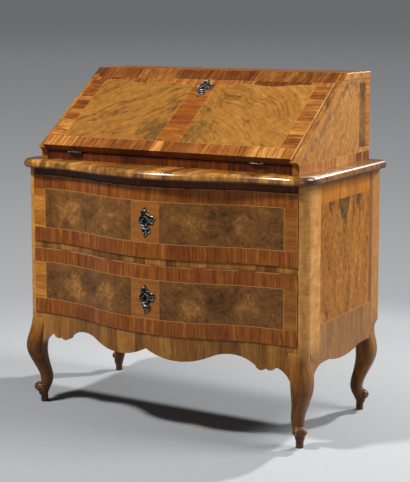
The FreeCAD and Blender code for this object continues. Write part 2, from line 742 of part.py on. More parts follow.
def hinge_leaf(name, x, moving):
    """One leaf with its knuckles; the moving one is drawn in the flap's own frame."""
    y, z = ("0", "0") if moving else ("hinge_y", "hinge_z")
    low_z = "hinge_clear" if moving else "hinge_z - hinge_leaf"
    plate = box(
        name + "_plate", (x + " - hinge_width/2", y, low_z),
        (x + " + hinge_width/2", y + " + hinge_leaf_depth", low_z + " + hinge_leaf"),
    )
    middle = [("-knuckle_width/2", "knuckle_width/2")]
    ends = [
        ("-hinge_width/2", "-knuckle_width/2 - knuckle_gap"),
        ("knuckle_width/2 + knuckle_gap", "hinge_width/2"),
    ]
    own, other = (middle, ends) if moving else (ends, middle)
    knuckles = [
        hinge_bar("%s_knuckle_%d" % (name, i), "knuckle_radius", x, start, end, y, z)
        for i, (start, end) in enumerate(own)
    ]
    rooms = [
        hinge_bar(
            "%s_room_%d" % (name, i), "knuckle_radius + knuckle_gap", x,
            start + " - knuckle_gap", end + " + knuckle_gap", y, z,
        )
        for i, (start, end) in enumerate(other)
    ]
    rooms.append(hinge_bar(
        name + "_bore", "pin_radius + pin_clear", x,
        "-hinge_width/2 - knuckle_gap", "hinge_width/2 + knuckle_gap", y, z,
    ))
    rooms += [
        cylinder(
            "%s_screw_hole_%d" % (name, i), "screw_radius + screw_clear", "2*hinge_leaf",
            (spot, y + " + screw_reach", low_z + " - hinge_leaf/2"), (0, 0, 1),
        )
        for i, spot in enumerate(screw_spots(x))
    ]
    return cut(name, join(name + "_blank", [plate] + knuckles), join(name + "_rooms", rooms))


def hinge_screws(name, moving):
    """Screws through every leaf of one side of the hinges."""
    screws = []
    y = "0" if moving else "hinge_y"
    for side, x in HINGES:
        for i, spot in enumerate(screw_spots(x)):
            at = (spot, y + " + screw_reach")
            low = ("hinge_clear",) if moving else ("hinge_z - screw_length",)
            head = ("hinge_clear - screw_head_thick",) if moving else ("hinge_z",)
            label = "%s_%s_%d" % (name, side, i)
            screws.append(join(label, [
                cylinder(label + "_shank", "screw_radius", "screw_length", at + low, (0, 0, 1)),
                cylinder(label + "_head", "screw_head", "screw_head_thick", at + head, (0, 0, 1)),
            ]))
    return compound(name, screws)


def hinge_rooms(name, moving):
    """What the hinges take out of the board that carries their leaves."""
    y, z = ("0", "0") if moving else ("hinge_y", "hinge_z")
    low_z = "0" if moving else "hinge_z - hinge_leaf"
    high_z = "hinge_clear + hinge_leaf" if moving else "hinge_z + hinge_leaf"
    deep = "hinge_clear" if moving else "hinge_z - screw_length - joint_gap"
    rooms = []
    for side, x in HINGES:
        label = "%s_%s" % (name, side)
        rooms.append(box(
            label + "_leaf", (x + " - hinge_width/2 - knuckle_gap", y, low_z),
            (x + " + hinge_width/2 + knuckle_gap", y + " + hinge_leaf_depth + joint_gap", high_z),
        ))
        rooms.append(hinge_bar(
            label + "_knuckles", "knuckle_radius + knuckle_gap", x,
            "-hinge_width/2 - knuckle_gap", "hinge_width/2 + knuckle_gap", y, z,
        ))
        for i, spot in enumerate(screw_spots(x)):
            rooms.append(cylinder(
                "%s_screw_%d" % (label, i), "screw_radius + screw_clear", "screw_length + joint_gap",
                (spot, y + " + screw_reach", deep), (0, 0, 1),
            ))
    return join(name, rooms)


desk_rail = box(
    "desk_rail_blank", ("-" + inner_half, "rail_y", "ledge_top"),
    (inner_half, "rail_y + desk_rail_thick", "bed_top"),
)
parts.append(cut("desk_rail", desk_rail, hinge_rooms("desk_rail_rooms", False)))
parts.append(compound(
    "fixed_hinge_leaves", [hinge_leaf("fixed_leaf_" + side, x, False) for side, x in HINGES],
))
parts.append(compound("hinge_pins", [
    hinge_bar("hinge_pin_" + side, "pin_radius", x, "-hinge_width/2", "hinge_width/2", "hinge_y", "hinge_z")
    for side, x in HINGES
]))
parts.append(hinge_screws("rail_hinge_screws", False))
flap_leaves = compound("flap_hinge_leaves", [hinge_leaf("flap_leaf_" + side, x, True) for side, x in HINGES])
flap_screws = hinge_screws("flap_hinge_screws", True)

# Key plates, locks and bolts

# Right-hand outline of a plate as parts of its width and height, and the rounds between its points
PLATE_OUTLINE = [("0.3", "-0.32"), ("0.34", "-0.1"), ("0.34", "0.28")]
PLATE_ROUNDS = [("0.3", 1), ("0.28", -1), ("0.4", 1), ("0.4", 1)]


def plate_outline(name, plane, z, length, reverse=False):
    """A cartouche padded from a plane, its middle at the given height."""
    right = [("plate_width*" + x, "%s + plate_height*(%s)" % (z, y)) for x, y in PLATE_OUTLINE]
    left = [("-" + x, y) for x, y in right[::-1]]
    points = [("0", z + " - plate_height/2")] + right + [("0", z + " + plate_height/2")] + left
    rounds = [("plate_width*" + radius, turn) for radius, turn in PLATE_ROUNDS]
    arcs = dict(enumerate(rounds + rounds[::-1]))
    return padded(name, plane, points, arcs, length, reverse)


def lock_case(name, low, high, bolt_low, bolt_high, along_y):
    """A lock with a slot for its bolt; returns the lock, the bolt and the room the lock takes."""
    case = box(name + "_case", low, high)
    widen = ("bolt_clear", "0", "bolt_clear") if along_y else ("bolt_clear", "bolt_clear", "0")
    slot_low = ["%s - %s" % pair for pair in zip(bolt_low, widen)]
    slot_high = ["%s + %s" % pair for pair in zip(bolt_high, widen)]
    end = 1 if along_y else 2
    slot_low[end] += " - bolt_clear"
    slot_high[end] += " + 2*bolt_sink"
    lock = cut(name, case, box(name + "_slot", slot_low, slot_high))
    bolt = box(name.replace("_lock", "_bolt"), bolt_low, bolt_high)
    room_low = ["%s - joint_gap" % edge for edge in low]
    room_high = ["%s + joint_gap" % edge for edge in high]
    room_high[end] += " + 2*bolt_sink"
    return lock, bolt, box(name + "_room", room_low, room_high)


# Drawers

def drawer_box(name, x0, x1, y0, y1, z0, z1, wall):
    """Left side, right side and back of a drawer."""
    left = box(name + "_left_side", (x0, y0, z0), ("%s + %s" % (x0, wall), y1, z1))
    right = box(name + "_right_side", ("%s - %s" % (x1, wall), y0, z0), (x1, y1, z1))
    back = box(
        name + "_back", ("%s + %s + joint_gap" % (x0, wall), "%s - %s" % (y1, wall), z0),
        ("%s - %s - joint_gap" % (x1, wall), y1, z1),
    )
    return left, right, back


def main_drawer(name, front_z, height, floor_z):
    """A serpentine drawer with its lock, bolt and key plate."""
    half = "(opening_half - drawer_side_gap)"
    top_z = "(%s + %s)" % (front_z, height)
    key_z = "(%s + %s/2)" % (front_z, height)
    blank = serpentine_strip(name + "_front_blank", half, "0", "front_thick", front_z, height)
    lock_back = "(face - bow_rise + front_thick)"
    bolt_top = top_z + " - bolt_sink"
    lock, bolt, room = lock_case(
        name + "_lock",
        ("-lock_width/2", lock_back + " - lock_thick", key_z + " - lock_below_key"),
        ("lock_width/2", lock_back, top_z + " - bolt_sink"),
        ("-bolt_width/2", bolt_y + " - bolt_thick/2", bolt_top + " - bolt_length"),
        ("bolt_width/2", bolt_y + " + bolt_thick/2", bolt_top), False,
    )
    room_back = box(
        name + "_lock_room_back",
        ("-lock_width/2 - joint_gap", lock_back, key_z + " - lock_below_key - joint_gap"),
        ("lock_width/2 + joint_gap", lock_back + " + front_thick", top_z + " + joint_gap"),
    )
    key_hole = cylinder(
        name + "_key_hole", "key_radius", "2*front_thick",
        ("0", "face - bow_rise + front_thick/2", key_z), (1, 0, 0),
    )
    front = cut(name + "_front", blank, join(name + "_front_rooms", [room, room_back, key_hole]))
    outline = plate_outline(name + "_plate_outline", "XZ_Plane", key_z, "case_depth + 2*bow_rise")
    strip = serpentine_strip(
        name + "_plate_strip", "bow_half + post_width", "-plate_thick", "plate_thick",
        front_z, height,
    )
    plate_hole = cylinder(
        name + "_plate_hole", "key_radius", "2*front_thick",
        ("0", "face - bow_rise + front_thick/2", key_z), (1, 0, 0),
    )
    plate = cut(name + "_key_plate", common(name + "_plate_blank", strip, outline), plate_hole)
    side_z = "(%s + run_clear)" % floor_z
    back_y = "(panel_front - drawer_back_gap)"
    inner = "(%s - drawer_side_thick - joint_gap)" % half
    left, right, back = drawer_box(
        name, "-" + half, half, "face + front_thick + joint_gap", back_y,
        side_z, top_z + " - drawer_side_drop", "drawer_side_thick",
    )
    bottom = serpentine_board(
        name + "_bottom", inner, "front_thick + joint_gap", back_y + " - drawer_side_thick - joint_gap",
        side_z + " + drawer_bottom_lift", "drawer_bottom_thick",
    )
    return [front, left, right, back, bottom, lock, bolt, plate]


parts += main_drawer("lower_drawer", "lower_drawer_z", "lower_drawer_height", "bottom_top")
parts += main_drawer("upper_drawer", "upper_drawer_z", "upper_drawer_height", "dust_top")

# Flap, drawn with the hinge axis at its origin and then set on the slope


def flap():
    lip_half = "(desk_half + flap_lip_over)"
    lip_z = "hinge_sink + flap_lip_rest"
    face_z = "hinge_clear + flap_thick"
    body = padded(
        "flap_blank", "XZ_Plane",
        [
            ("-flap_half", "hinge_clear"), ("flap_half", "hinge_clear"), ("flap_half", lip_z),
            (lip_half, lip_z), (lip_half, face_z), ("-" + lip_half, face_z), ("-" + lip_half, lip_z),
            ("-flap_half", lip_z),
        ],
        {}, "flap_length", True,
    )
    place(body, y="flap_edge_gap")
    edge_x, edge_y, edge_z = value(lip_half), value("flap_length"), value(face_z)
    round_edges(
        body, "flap_round_edges", "flap_round",
        lambda span: near(span.ZMin, edge_z)
        and (near(span.YMin, edge_y) or near(abs(span.XMin + span.XMax), 2 * edge_x)),
    )
    key_y = "(flap_top - flap_plate_down)"
    lock, bolt, room = lock_case(
        "flap_lock",
        ("-lock_width/2", key_y + " - lock_below_key", "hinge_clear"),
        ("lock_width/2", "flap_top - bolt_sink", "hinge_clear + lock_thick"),
        ("-bolt_width/2", "flap_top - bolt_sink - bolt_length", flap_bolt_z + " - bolt_thick/2"),
        ("bolt_width/2", "flap_top - bolt_sink", flap_bolt_z + " + bolt_thick/2"), True,
    )
    holes = [
        cylinder(name, "key_radius", "2*flap_thick", ("0", key_y, "hinge_clear"), (0, 0, 1))
        for name in ("flap_key_hole", "flap_plate_hole")
    ]
    rooms = join("flap_rooms", [hinge_rooms("flap_hinge_rooms", True), room, holes[0]])
    panel = cut("flap_panel", body, rooms)
    outline = plate_outline("flap_plate_outline", "XY_Plane", key_y, "plate_thick")
    place(outline, z=face_z)
    plate = cut("flap_key_plate", outline, holes[1])
    pieces = [panel, lock, bolt, plate]
    for piece in pieces:
        if piece is not bolt:
            slope_place(piece)
    return pieces


flap_panel, flap_lock, flap_bolt_bar, flap_plate = flap()
flap_bolt = compound("flap_bolt_seated", [flap_bolt_bar])
for piece in (flap_leaves, flap_screws, flap_bolt):
    slope_place(piece)
parts += [flap_panel, flap_leaves, flap_screws, flap_lock, flap_bolt, flap_plate]

# Desk fittings: partitions, shelves and two small drawers

partition = box(
    "left_partition", ("-bay_edge", "cubby_front", "bed_top"),
    ("-bay_edge + partition_thick", "panel_front - joint_gap", "under_top"),
)
shelf = box(
    "left_shelf", ("-" + inner_half, "cubby_front", "shelf_z"),
    ("-bay_edge - joint_gap", "panel_front - joint_gap", "shelf_z + shelf_thick"),
)
parts += [partition, mirror("right_partition", partition), shelf, mirror("right_shelf", shelf)]


def small_drawer(name):
    """A left-hand small drawer with a turned knob."""
    x0, x1 = "(-desk_half + small_gap)", "(-bay_edge - small_gap)"
    top_z = "(small_z + small_height)"
    side_z = "(bed_top + run_clear)"
    side_y = "(cubby_front + small_front_thick + joint_gap)"
    back_y = "(panel_front - 2*small_gap)"
    front = box(
        name + "_front", (x0, "cubby_front", "small_z"), (x1, "cubby_front + small_front_thick", top_z),
    )
    left, right, back = drawer_box(
        name, x0, x1, side_y, back_y, side_z, top_z + " - small_wall", "small_wall",
    )
    sides = compound(name + "_sides", [left, right])
    bottom = box(
        name + "_bottom", (x0 + " + small_wall + joint_gap", side_y, side_z + " + small_gap"),
        (
            x1 + " - small_wall - joint_gap", back_y + " - small_wall - joint_gap",
            side_z + " + small_gap + small_wall/2",
        ),
    )
    knob_x = "(%s + %s)/2" % (x0, x1)
    knob_z = "(small_z + small_height/2)"
    neck = cylinder(
        name + "_knob_neck", "knob_neck", "knob_length - knob_radius",
        (knob_x, "cubby_front", knob_z), (1, 0, 0),
    )
    ball = doc.addObject("Part::Sphere", name + "_knob_ball")
    bind(ball, "Radius", "knob_radius")
    place(ball, knob_x, "cubby_front - knob_length + knob_radius", knob_z)
    return [front, sides, back, bottom, join(name + "_knob", [neck, ball])]


left_small = small_drawer("left_small_drawer")
right_small = [mirror(piece.Name.replace("left", "right", 1), piece) for piece in left_small]
parts += left_small + right_small

# Labels, checks and files

for piece in parts:
    piece.Label = piece.Name
flap_bolt_bar.Label = "flap_bolt_bar"
flap_bolt.Label = "flap_bolt"
doc.recompute()
for thing in doc.Objects:
    if "Invalid" in thing.State or "Error" in thing.State:
        raise RuntimeError("%s did not build" % thing.Name)
os.makedirs("parts", exist_ok=True)
for piece in parts:
    if piece.Shape.isNull() or not piece.Shape.isValid():
        raise RuntimeError("%s has no sound shape" % piece.Label)
for piece in parts:
    piece.Shape.exportStep("parts/%s.step" % piece.Label)
    span = piece.Shape.BoundBox
    print(
        "%-26s %9.0f mm3  x %7.1f %7.1f  y %7.1f %7.1f  z %7.1f %7.1f"
        % (piece.Label, piece.Shape.Volume, span.XMin, span.XMax, span.YMin, span.YMax, span.ZMin, span.ZMax)
    )
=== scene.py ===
import math

import bpy
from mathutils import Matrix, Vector


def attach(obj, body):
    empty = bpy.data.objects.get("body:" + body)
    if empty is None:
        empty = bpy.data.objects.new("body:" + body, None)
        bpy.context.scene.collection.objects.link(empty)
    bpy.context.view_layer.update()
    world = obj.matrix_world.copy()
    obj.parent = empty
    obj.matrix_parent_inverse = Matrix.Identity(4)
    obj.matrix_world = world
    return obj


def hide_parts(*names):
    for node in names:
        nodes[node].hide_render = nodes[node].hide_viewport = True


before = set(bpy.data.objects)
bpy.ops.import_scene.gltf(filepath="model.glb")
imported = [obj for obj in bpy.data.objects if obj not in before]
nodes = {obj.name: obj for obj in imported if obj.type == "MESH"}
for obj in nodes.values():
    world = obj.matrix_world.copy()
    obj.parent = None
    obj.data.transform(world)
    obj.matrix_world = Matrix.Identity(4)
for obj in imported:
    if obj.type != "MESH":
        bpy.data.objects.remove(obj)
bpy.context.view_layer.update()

# Looks of a slant-front bureau: figured veneers, cast key plates, scrolled toes, and a pale studio floor.

scene = bpy.context.scene

# Sizes that the veneers follow, in metres: x to the right, y to the back, z up
SLOPE = math.radians(34.8)
HINGE_Y, HINGE_Z = -0.17928, 0.784
TOP_Z = 1.024

# Flap, across and up its slope: middle strip, field, key plate, wavy head of the field, lips, lower edge
# with painted shade, and inside
FLAP_STRIP, FLAP_FIELD = 0.0375, 0.365
FLAP_FOOT, FLAP_HEAD = 0.047, 0.3225
FLAP_FACE, FLAP_PLATE = 0.023, 0.2977
RIPPLE_MIDDLE, RIPPLE_LENGTH, RIPPLE_HEIGHT = 0.135, 0.187, 0.0055
RIPPLE_BASE, RIPPLE_LEAN = 0.316, 0.02
FLAP_CORE = (0.008, 0.009)
FLAP_LIP, FLAP_LIP_DEPTH = (0.4125, 0.4145), (0.010, 0.012)
FLAP_EDGE = (0.0026, 0.0034)
FLAP_INSIDE = ((-0.34, 0.34), (0.055, 0.29))

# Drawer fronts: plain block, field, the line on which the burl folds, the right end and the key plates
DRAWER_BLOCK, DRAWER_FIELD, DRAWER_FOLD = 0.0465, 0.4035, 0.222
DRAWER_END = (0.4418, 0.4430)
UPPER_PLATE, LOWER_PLATE = 0.611, 0.390
BOW_Y, BOW_RADIUS = -0.274, 0.5664
HOLE_REACH = 0.0052

# Side panels: field, the end of its back line, the split in the rear band, and the dark tongues
SIDE_FRONT, SIDE_BACK = -0.114, 0.220
SIDE_LOW, SIDE_HIGH = 0.338, 0.676
SIDE_LINE_TOP = 0.56
REAR_SPLIT = (0.448, 0.452)
SIDE_TONGUES = [(-0.045, 0.026, 0.060), (0.040, 0.046, 0.110), (0.140, 0.026, 0.085)]

# Ledge, desk and the small drawers
LEDGE_CORNER = 0.22
LEDGE_LOWER = (0.7385, 0.7425)
DESK_SKIN = (0.430, 0.431)
DESK_TOP_FRONT = 0.138
DESK_BAND_TOP, DESK_FIELD_BACK = 0.787, 0.272
DESK_SEAM, TOP_ARRIS = (1.0026, 1.0054), (1.0210, 1.0224)
DESK_RIM, DESK_RIM_FOOT = (0.0008, 0.0016), (0.79, 0.80)
SMOKED_DEPTH, SMOKED_HEIGHT = (0.226, 0.272), (0.801, 0.992)
TOP_FIELD = ((-0.39, 0.39), (0.18, 0.262))
SMALL_FIELD = ((0.172, 0.399), (0.798, 0.854))
DESK_FOOT_PIECES = [
    (-0.190, 0.05), (0.000, 0.02), (0.060, 0.12), (0.140, 0.02),
    (0.205, -0.20), (0.245, 0.02), (0.258, -0.20), (0.302, 0.0),
]

# Half the width of a veneer joint, the depth of the grain, and the rounding of edges
JOINT = 0.0004
RELIEF, LEDGE_RELIEF, BOARD_RELIEF, METAL_RELIEF = 0.00010, 0.00002, 0.00025, 0.0002
ARRIS = 0.0011


# Node trees

def rgb(red, green, blue):
    """A colour given as screen values, as the shader wants it."""
    tone = [c / 255 for c in (red, green, blue)]
    return tuple(c / 12.92 if c < 0.04045 else ((c + 0.055) / 1.055) ** 2.4 for c in tone) + (1.0,)


class Wire:
    """A value in a node tree, with plain arithmetic."""

    def __init__(self, graph, socket):
        self.graph = graph
        self.socket = socket

    def __add__(self, other):
        return self.graph.math("ADD", self, other)

    def __radd__(self, other):
        return self.graph.math("ADD", other, self)

    def __sub__(self, other):
        return self.graph.math("SUBTRACT", self, other)

    def __rsub__(self, other):
        return self.graph.math("SUBTRACT", other, self)

    def __mul__(self, other):
        return self.graph.math("MULTIPLY", self, other)

    def __rmul__(self, other):
        return self.graph.math("MULTIPLY", other, self)

    def __truediv__(self, other):
        return self.graph.math("DIVIDE", self, other)

    def __abs__(self):
        return self.graph.math("ABSOLUTE", self)


class Graph:
    """A node tree under construction."""

    def __init__(self, tree):
        self.tree = tree
        self.tree.nodes.clear()

    def node(self, kind, inputs=None, **props):
        made = self.tree.nodes.new("ShaderNode" + kind)
        for name, setting in props.items():
            setattr(made, name, setting)
        for name, given in (inputs or {}).items():
            self.put(made.inputs[name], given)
        return made

    def put(self, socket, given):
        if isinstance(given, Wire):
            self.tree.links.new(given.socket, socket)
        else:
            socket.default_value = given

    def math(self, operation, *given):
        return Wire(self, self.node("Math", dict(enumerate(given)), operation=operation).outputs[0])

    def highest(self, a, b):
        return self.math("MAXIMUM", a, b)

    def lowest(self, a, b):
        return self.math("MINIMUM", a, b)

    def place(self):
        """The three coordinates of the piece's own frame, which is the bureau's."""
        split = self.node("SeparateXYZ")
        self.tree.links.new(self.node("TexCoord").outputs["Object"], split.inputs[0])
        return [Wire(self, split.outputs[i]) for i in range(3)]

    def facing(self):
        """The three parts of the surface's direction in the piece's own frame."""
        split = self.node("SeparateXYZ")
        self.tree.links.new(self.node("TexCoord").outputs["Normal"], split.inputs[0])
        return [Wire(self, split.outputs[i]) for i in range(3)]

    def vector(self, x, y, z):
        return Wire(self, self.node("CombineXYZ", {0: x, 1: y, 2: z}).outputs[0])

    def shift(self, a, b):
        return Wire(self, self.node("VectorMath", {0: a, 1: b}, operation="ADD").outputs[0])

    def stretch(self, a, amount):
        made = self.node("VectorMath", {0: a, "Scale": amount}, operation="SCALE")
        return Wire(self, made.outputs[0])

    def noise(self, vector, scale, detail=2.0, rough=0.5, colour=False):
        made = self.node(
            "TexNoise", {"Vector": vector, "Scale": scale, "Detail": detail, "Roughness": rough},
        )
        return Wire(self, made.outputs["Color" if colour else "Fac"])

    def cells(self, along):
        """A random number for each of the pieces, uneven in length, along a line."""
        made = self.node("TexVoronoi", {"W": along, "Scale": 1.0}, voronoi_dimensions="1D")
        split = self.node("SeparateColor", {0: Wire(self, made.outputs["Color"])})
        return Wire(self, split.outputs[0])

    def dots(self, vector, scale):
        made = self.node("TexVoronoi", {"Vector": vector, "Scale": scale})
        return Wire(self, made.outputs["Distance"])

    def rise(self, x, low, high):
        """From 0 at low to 1 at high, smoothly."""
        made = self.node(
            "MapRange", {"Value": x, "From Min": low, "From Max": high}, interpolation_type="SMOOTHSTEP",
        )
        return Wire(self, made.outputs[0])

    def within(self, x, low, high, soft=0.0005):
        return self.rise(x, low - soft, low + soft) * (1.0 - self.rise(x, high - soft, high + soft))

    def past(self, x, joint=0.0):
        """0 before a veneer joint, 1 past it."""
        return self.rise(x, joint - JOINT, joint + JOINT)

    def spot(self, x, y, at, spread):
        """A soft spot, 1 at its middle."""
        across, along = (x - at[0]) / spread[0], (y - at[1]) / spread[1]
        return 1.0 - self.rise(across * across + along * along, 0.0, 1.0)

    def ramp(self, amount, stops, steps="LINEAR"):
        made = self.node("ValToRGB", {0: amount})
        made.color_ramp.interpolation = steps
        scale = made.color_ramp.elements
        while len(scale) < len(stops):
            scale.new(0.5)
        for slot, (position, colour) in zip(scale, stops):
            slot.position = position
            slot.color = colour
        return Wire(self, made.outputs[0])

    def blend(self, amount, a, b):
        made = self.node("Mix", {"Factor": amount, 6: a, 7: b}, data_type="RGBA")
        return Wire(self, made.outputs[2])

    def darken(self, colour, amount, tone):
        """The colour taken part of the way to a darker one."""
        return self.blend(amount, colour, tone)


def material(name, build, settings):
    """A polished surface; build gives its colour, roughness and relief. Its edges are a little rounded."""
    made = bpy.data.materials.new(name)
    made.use_nodes = True
    graph = Graph(made.node_tree)
    colour, rough, relief = build(graph)
    shader = graph.node("BsdfPrincipled", {"Base Color": colour, "Roughness": rough})
    for socket, amount in settings.items():
        shader.inputs[socket].default_value = amount
    height, depth = relief
    edge = graph.node("Bevel", {"Radius": ARRIS}, samples=4)
    bump = graph.node("Bump", {"Strength": 1.0, "Distance": depth, "Height": height})
    made.node_tree.links.new(edge.outputs[0], bump.inputs["Normal"])
    made.node_tree.links.new(bump.outputs[0], shader.inputs["Normal"])
    made.node_tree.links.new(shader.outputs[0], graph.node("OutputMaterial").inputs[0])
    return made


def paint(surface, *names):
    """Gives a CAD piece its surface."""
    for name in names:
        piece = nodes[name]
        if not piece.material_slots:
            piece.data.materials.append(None)
        for slot in piece.material_slots:
            slot.link = "OBJECT"
            slot.material = surface


# Woods, each a scale of tones from dark to light

def tones(*colours):
    """A scale of tones over the range that the grain covers."""
    step = 0.46 / (len(colours) - 1)
    return [(0.27 + step * i, rgb(*colour)) for i, colour in enumerate(colours)]


RED_BAND = tones((90, 40, 10), (122, 62, 17), (146, 81, 25), (178, 108, 41))
GOLD_BAND = tones((122, 64, 15), (156, 91, 27), (180, 112, 37), (208, 143, 59))
FLAP_BAND = tones((90, 42, 13), (126, 68, 22), (158, 97, 38), (202, 142, 70))
STRIP_TONES = tones((72, 34, 10), (106, 56, 19), (136, 82, 33), (184, 126, 62))
GOLD_BURL = tones((98, 63, 23), (142, 93, 35), (164, 110, 45), (190, 135, 66))
BROWN_BURL = tones((58, 36, 14), (104, 65, 28), (132, 86, 39), (180, 123, 62))
SIDE_BURL = tones((98, 56, 14), (140, 86, 26), (166, 107, 37), (196, 138, 58))
LEDGE_TONES = tones((76, 46, 16), (128, 82, 31), (170, 113, 46), (212, 154, 78))
APRON_TONES = tones((80, 46, 14), (120, 75, 28), (146, 96, 39), (182, 125, 57))
STILE_TONES = tones((140, 91, 42), (184, 126, 62), (208, 149, 78), (234, 180, 104))
WALNUT = tones((56, 29, 8), (84, 47, 13), (104, 61, 20), (134, 83, 31))
PLAIN_BLOCK = tones((118, 68, 25), (146, 88, 34), (162, 100, 41), (184, 120, 54))
DARK_BAND = tones((62, 25, 5), (94, 41, 9), (116, 54, 13), (146, 75, 22))
OAK = tones((118, 82, 46), (152, 112, 68), (174, 134, 86), (196, 158, 108))
# Oak darkened as painted shade, for the bottom board under the case
PAINTED_SHADE_OAK = tones((40, 29, 20), (58, 43, 30), (72, 54, 38), (88, 68, 48))
STRINGING = rgb(204, 152, 84)
DARK_LINE = rgb(58, 32, 16)
OLIVE = rgb(92, 72, 34)
BACK_STAIN = rgb(118, 66, 22)
# Tone of the painted shade inside a keyhole
HOLE_TONE = rgb(22, 13, 8)


def random_lay(g, along, piece, seed, split):
    """A tone for each veneer piece of a band, pieces of uneven length."""
    return (g.cells(along / piece + seed) - 0.5) * split


def chosen_lay(g, along, pieces):
    """The tone of each veneer piece of a band, given as where it starts and how much lighter it is."""
    first, last = pieces[0][0], pieces[-1][0]
    place = (along - first) / (last - first)
    stops = [((start - first) / (last - first), (0.5 + tone,) * 3 + (1.0,)) for start, tone in pieces]
    return g.ramp(place, stops, "CONSTANT") - 0.5


def cross_wood(g, along, across, scale, lay=0.0, seed=0.0, lines=1.0, mottle=0.25):
    """Veneer with its grain across the band; lay is the tone of each piece."""
    run = along + (g.noise(g.vector(along, across, seed), 11.0) - 0.5) * 0.02
    broad = g.noise(g.vector(run * 60.0, across * 4.0, seed), 1.0, 3.0, 0.6)
    middle = g.noise(g.vector(run * 170.0, across * 8.0, seed + 5.0), 1.0, 2.0, 0.6)
    fine = g.noise(g.vector(run * 420.0, across * 12.0, seed), 1.0, 3.0, 0.6)
    cloud = g.noise(g.vector(along, across, seed), 38.0, 3.0, 0.6)
    stripe = (broad - 0.5) * 0.45 + (middle - 0.5) * 0.6 + (fine - 0.5) * 0.5
    tone = stripe * lines + (cloud - 0.5) * mottle + 0.5
    return g.ramp(tone + lay, scale), fine


def straight_wood(g, along, across, scale, seed=0.0, bend=0.05, lines=46.0, shade=0.0,
                  streak=0.6, mottle=0.35, veins=0.0):
    """Grain that runs along, bent by slow waves, with clouds and dark veins; shade adds to the tone."""
    spot = g.vector(along, across, seed)
    bent = across + (g.noise(spot, 5.0, 2.0) - 0.5) * bend
    broad = g.noise(g.vector(along * 5.0, bent * lines, seed), 1.0, 3.0, 0.6)
    fine = g.noise(g.vector(along * 15.0, bent * lines * 4.0, seed + 3.0), 1.0, 3.0, 0.6)
    cloud = g.noise(spot, 65.0, 3.0, 0.6)
    tone = (broad - 0.5) * streak + (fine - 0.5) * 0.5 + (cloud - 0.5) * mottle + 0.5
    if veins:
        ridge = abs(g.noise(g.vector(along * 4.0, bent * lines * 0.5, seed + 7.0), 1.0, 3.0, 0.6) - 0.5)
        tone = tone - (1.0 - g.rise(ridge, 0.004, 0.024)) * veins
    return g.ramp(tone + shade, scale), fine


def burl_wood(g, u, v, scale, seed=0.0, shade=0.0, swirl=0.10):
    """Swirling burl with clouds, curled veins and eyes; shade adds to its tone."""
    start = g.vector(u, v, seed)
    push = g.noise(start, 10.0, 3.0, 0.6, colour=True)
    spot = g.shift(start, g.stretch(push, swirl))
    zone = g.noise(spot, 22.0, 3.0, 0.6)
    cloud = g.noise(spot, 70.0, 4.0, 0.65)
    fine = g.noise(spot, 230.0, 3.0, 0.6)
    ridge = abs(g.noise(spot, 26.0, 3.0, 0.55) - 0.5)
    vein = 1.0 - g.rise(ridge, 0.003, 0.022)
    tone = (zone - 0.5) * 0.5 + (cloud - 0.5) * 0.4 + (fine - 0.5) * 0.4 - vein * 0.08 + 0.51
    colour = g.ramp(tone + shade, scale)
    eye = 1.0 - g.rise(g.dots(spot, 60.0), 0.05, 0.16)
    eyes = eye * g.rise(g.noise(spot, 15.0), 0.53, 0.62)
    return g.darken(colour, eyes * 0.6, scale[0][1]), fine


def polish(fine, base=0.24):
    """Roughness that follows the grain a little."""
    return fine * 0.16 + base


def frame_distance(g, u, v, box):
    """How far a point lies outside (above 0) or inside a rectangle."""
    (u0, u1), (v0, v1) = box
    return g.highest(g.highest(u0 - u, u - u1), g.highest(v0 - v, v - v1))


def string_line(g, colour, distance, width=0.0007, strength=0.75, tone=STRINGING):
    """A thin inlaid line where the distance is nought."""
    line = 1.0 - g.rise(abs(distance), width * 0.6, width * 1.4)
    return g.blend(line * strength, colour, tone)


def key_hole(g, colour, x, z):
    """Painted shade inside the hole behind a key plate; x and z are measured from its middle."""
    reach = HOLE_REACH ** 2
    inside = 1.0 - g.rise(x * x + z * z, reach * 0.8, reach)
    return g.darken(colour, inside, HOLE_TONE)


# Flap and the fixed strip above it; the veneer pieces run from left to right and from low to high

TOP_PIECES = [
    (-0.434, -0.08), (-0.400, 0.02), (-0.265, 0.12), (-0.130, -0.01), (-0.012, 0.03),
    (0.044, -0.02), (0.147, 0.12), (0.275, 0.04), (0.390, 0.07), (0.434, 0.0),
]
FLAP_TOP_PIECES = [
    (-0.420, -0.10), (-0.218, 0.0), (-0.090, 0.05), (0.028, 0.01),
    (0.162, -0.17), (0.345, 0.08), (0.420, 0.0),
]
FLAP_FOOT_PIECES = [
    (-0.420, 0.10), (-0.314, -0.05), (-0.200, -0.10), (-0.042, 0.18), (-0.004, -0.08),
    (0.080, 0.0), (0.276, 0.16), (0.382, 0.02), (0.420, 0.0),
]
FLAP_LEFT_PIECES = [
    (0.047, 0.06), (0.077, 0.11), (0.128, -0.05), (0.158, 0.08),
    (0.178, -0.10), (0.219, 0.08), (0.239, -0.11), (0.322, 0.0),
]
FLAP_RIGHT_PIECES = [
    (0.047, -0.05), (0.103, 0.08), (0.169, -0.03), (0.197, 0.07), (0.263, -0.04), (0.322, 0.0),
]


def slope_place(g):
    """Across the slope, up the slope from the hinge, and out from it."""
    x, y, z = g.place()
    sine, cosine = math.sin(SLOPE), math.cos(SLOPE)
    back, up = y - HINGE_Y, z - HINGE_Z
    return x, back * cosine + up * sine, up * cosine - back * sine


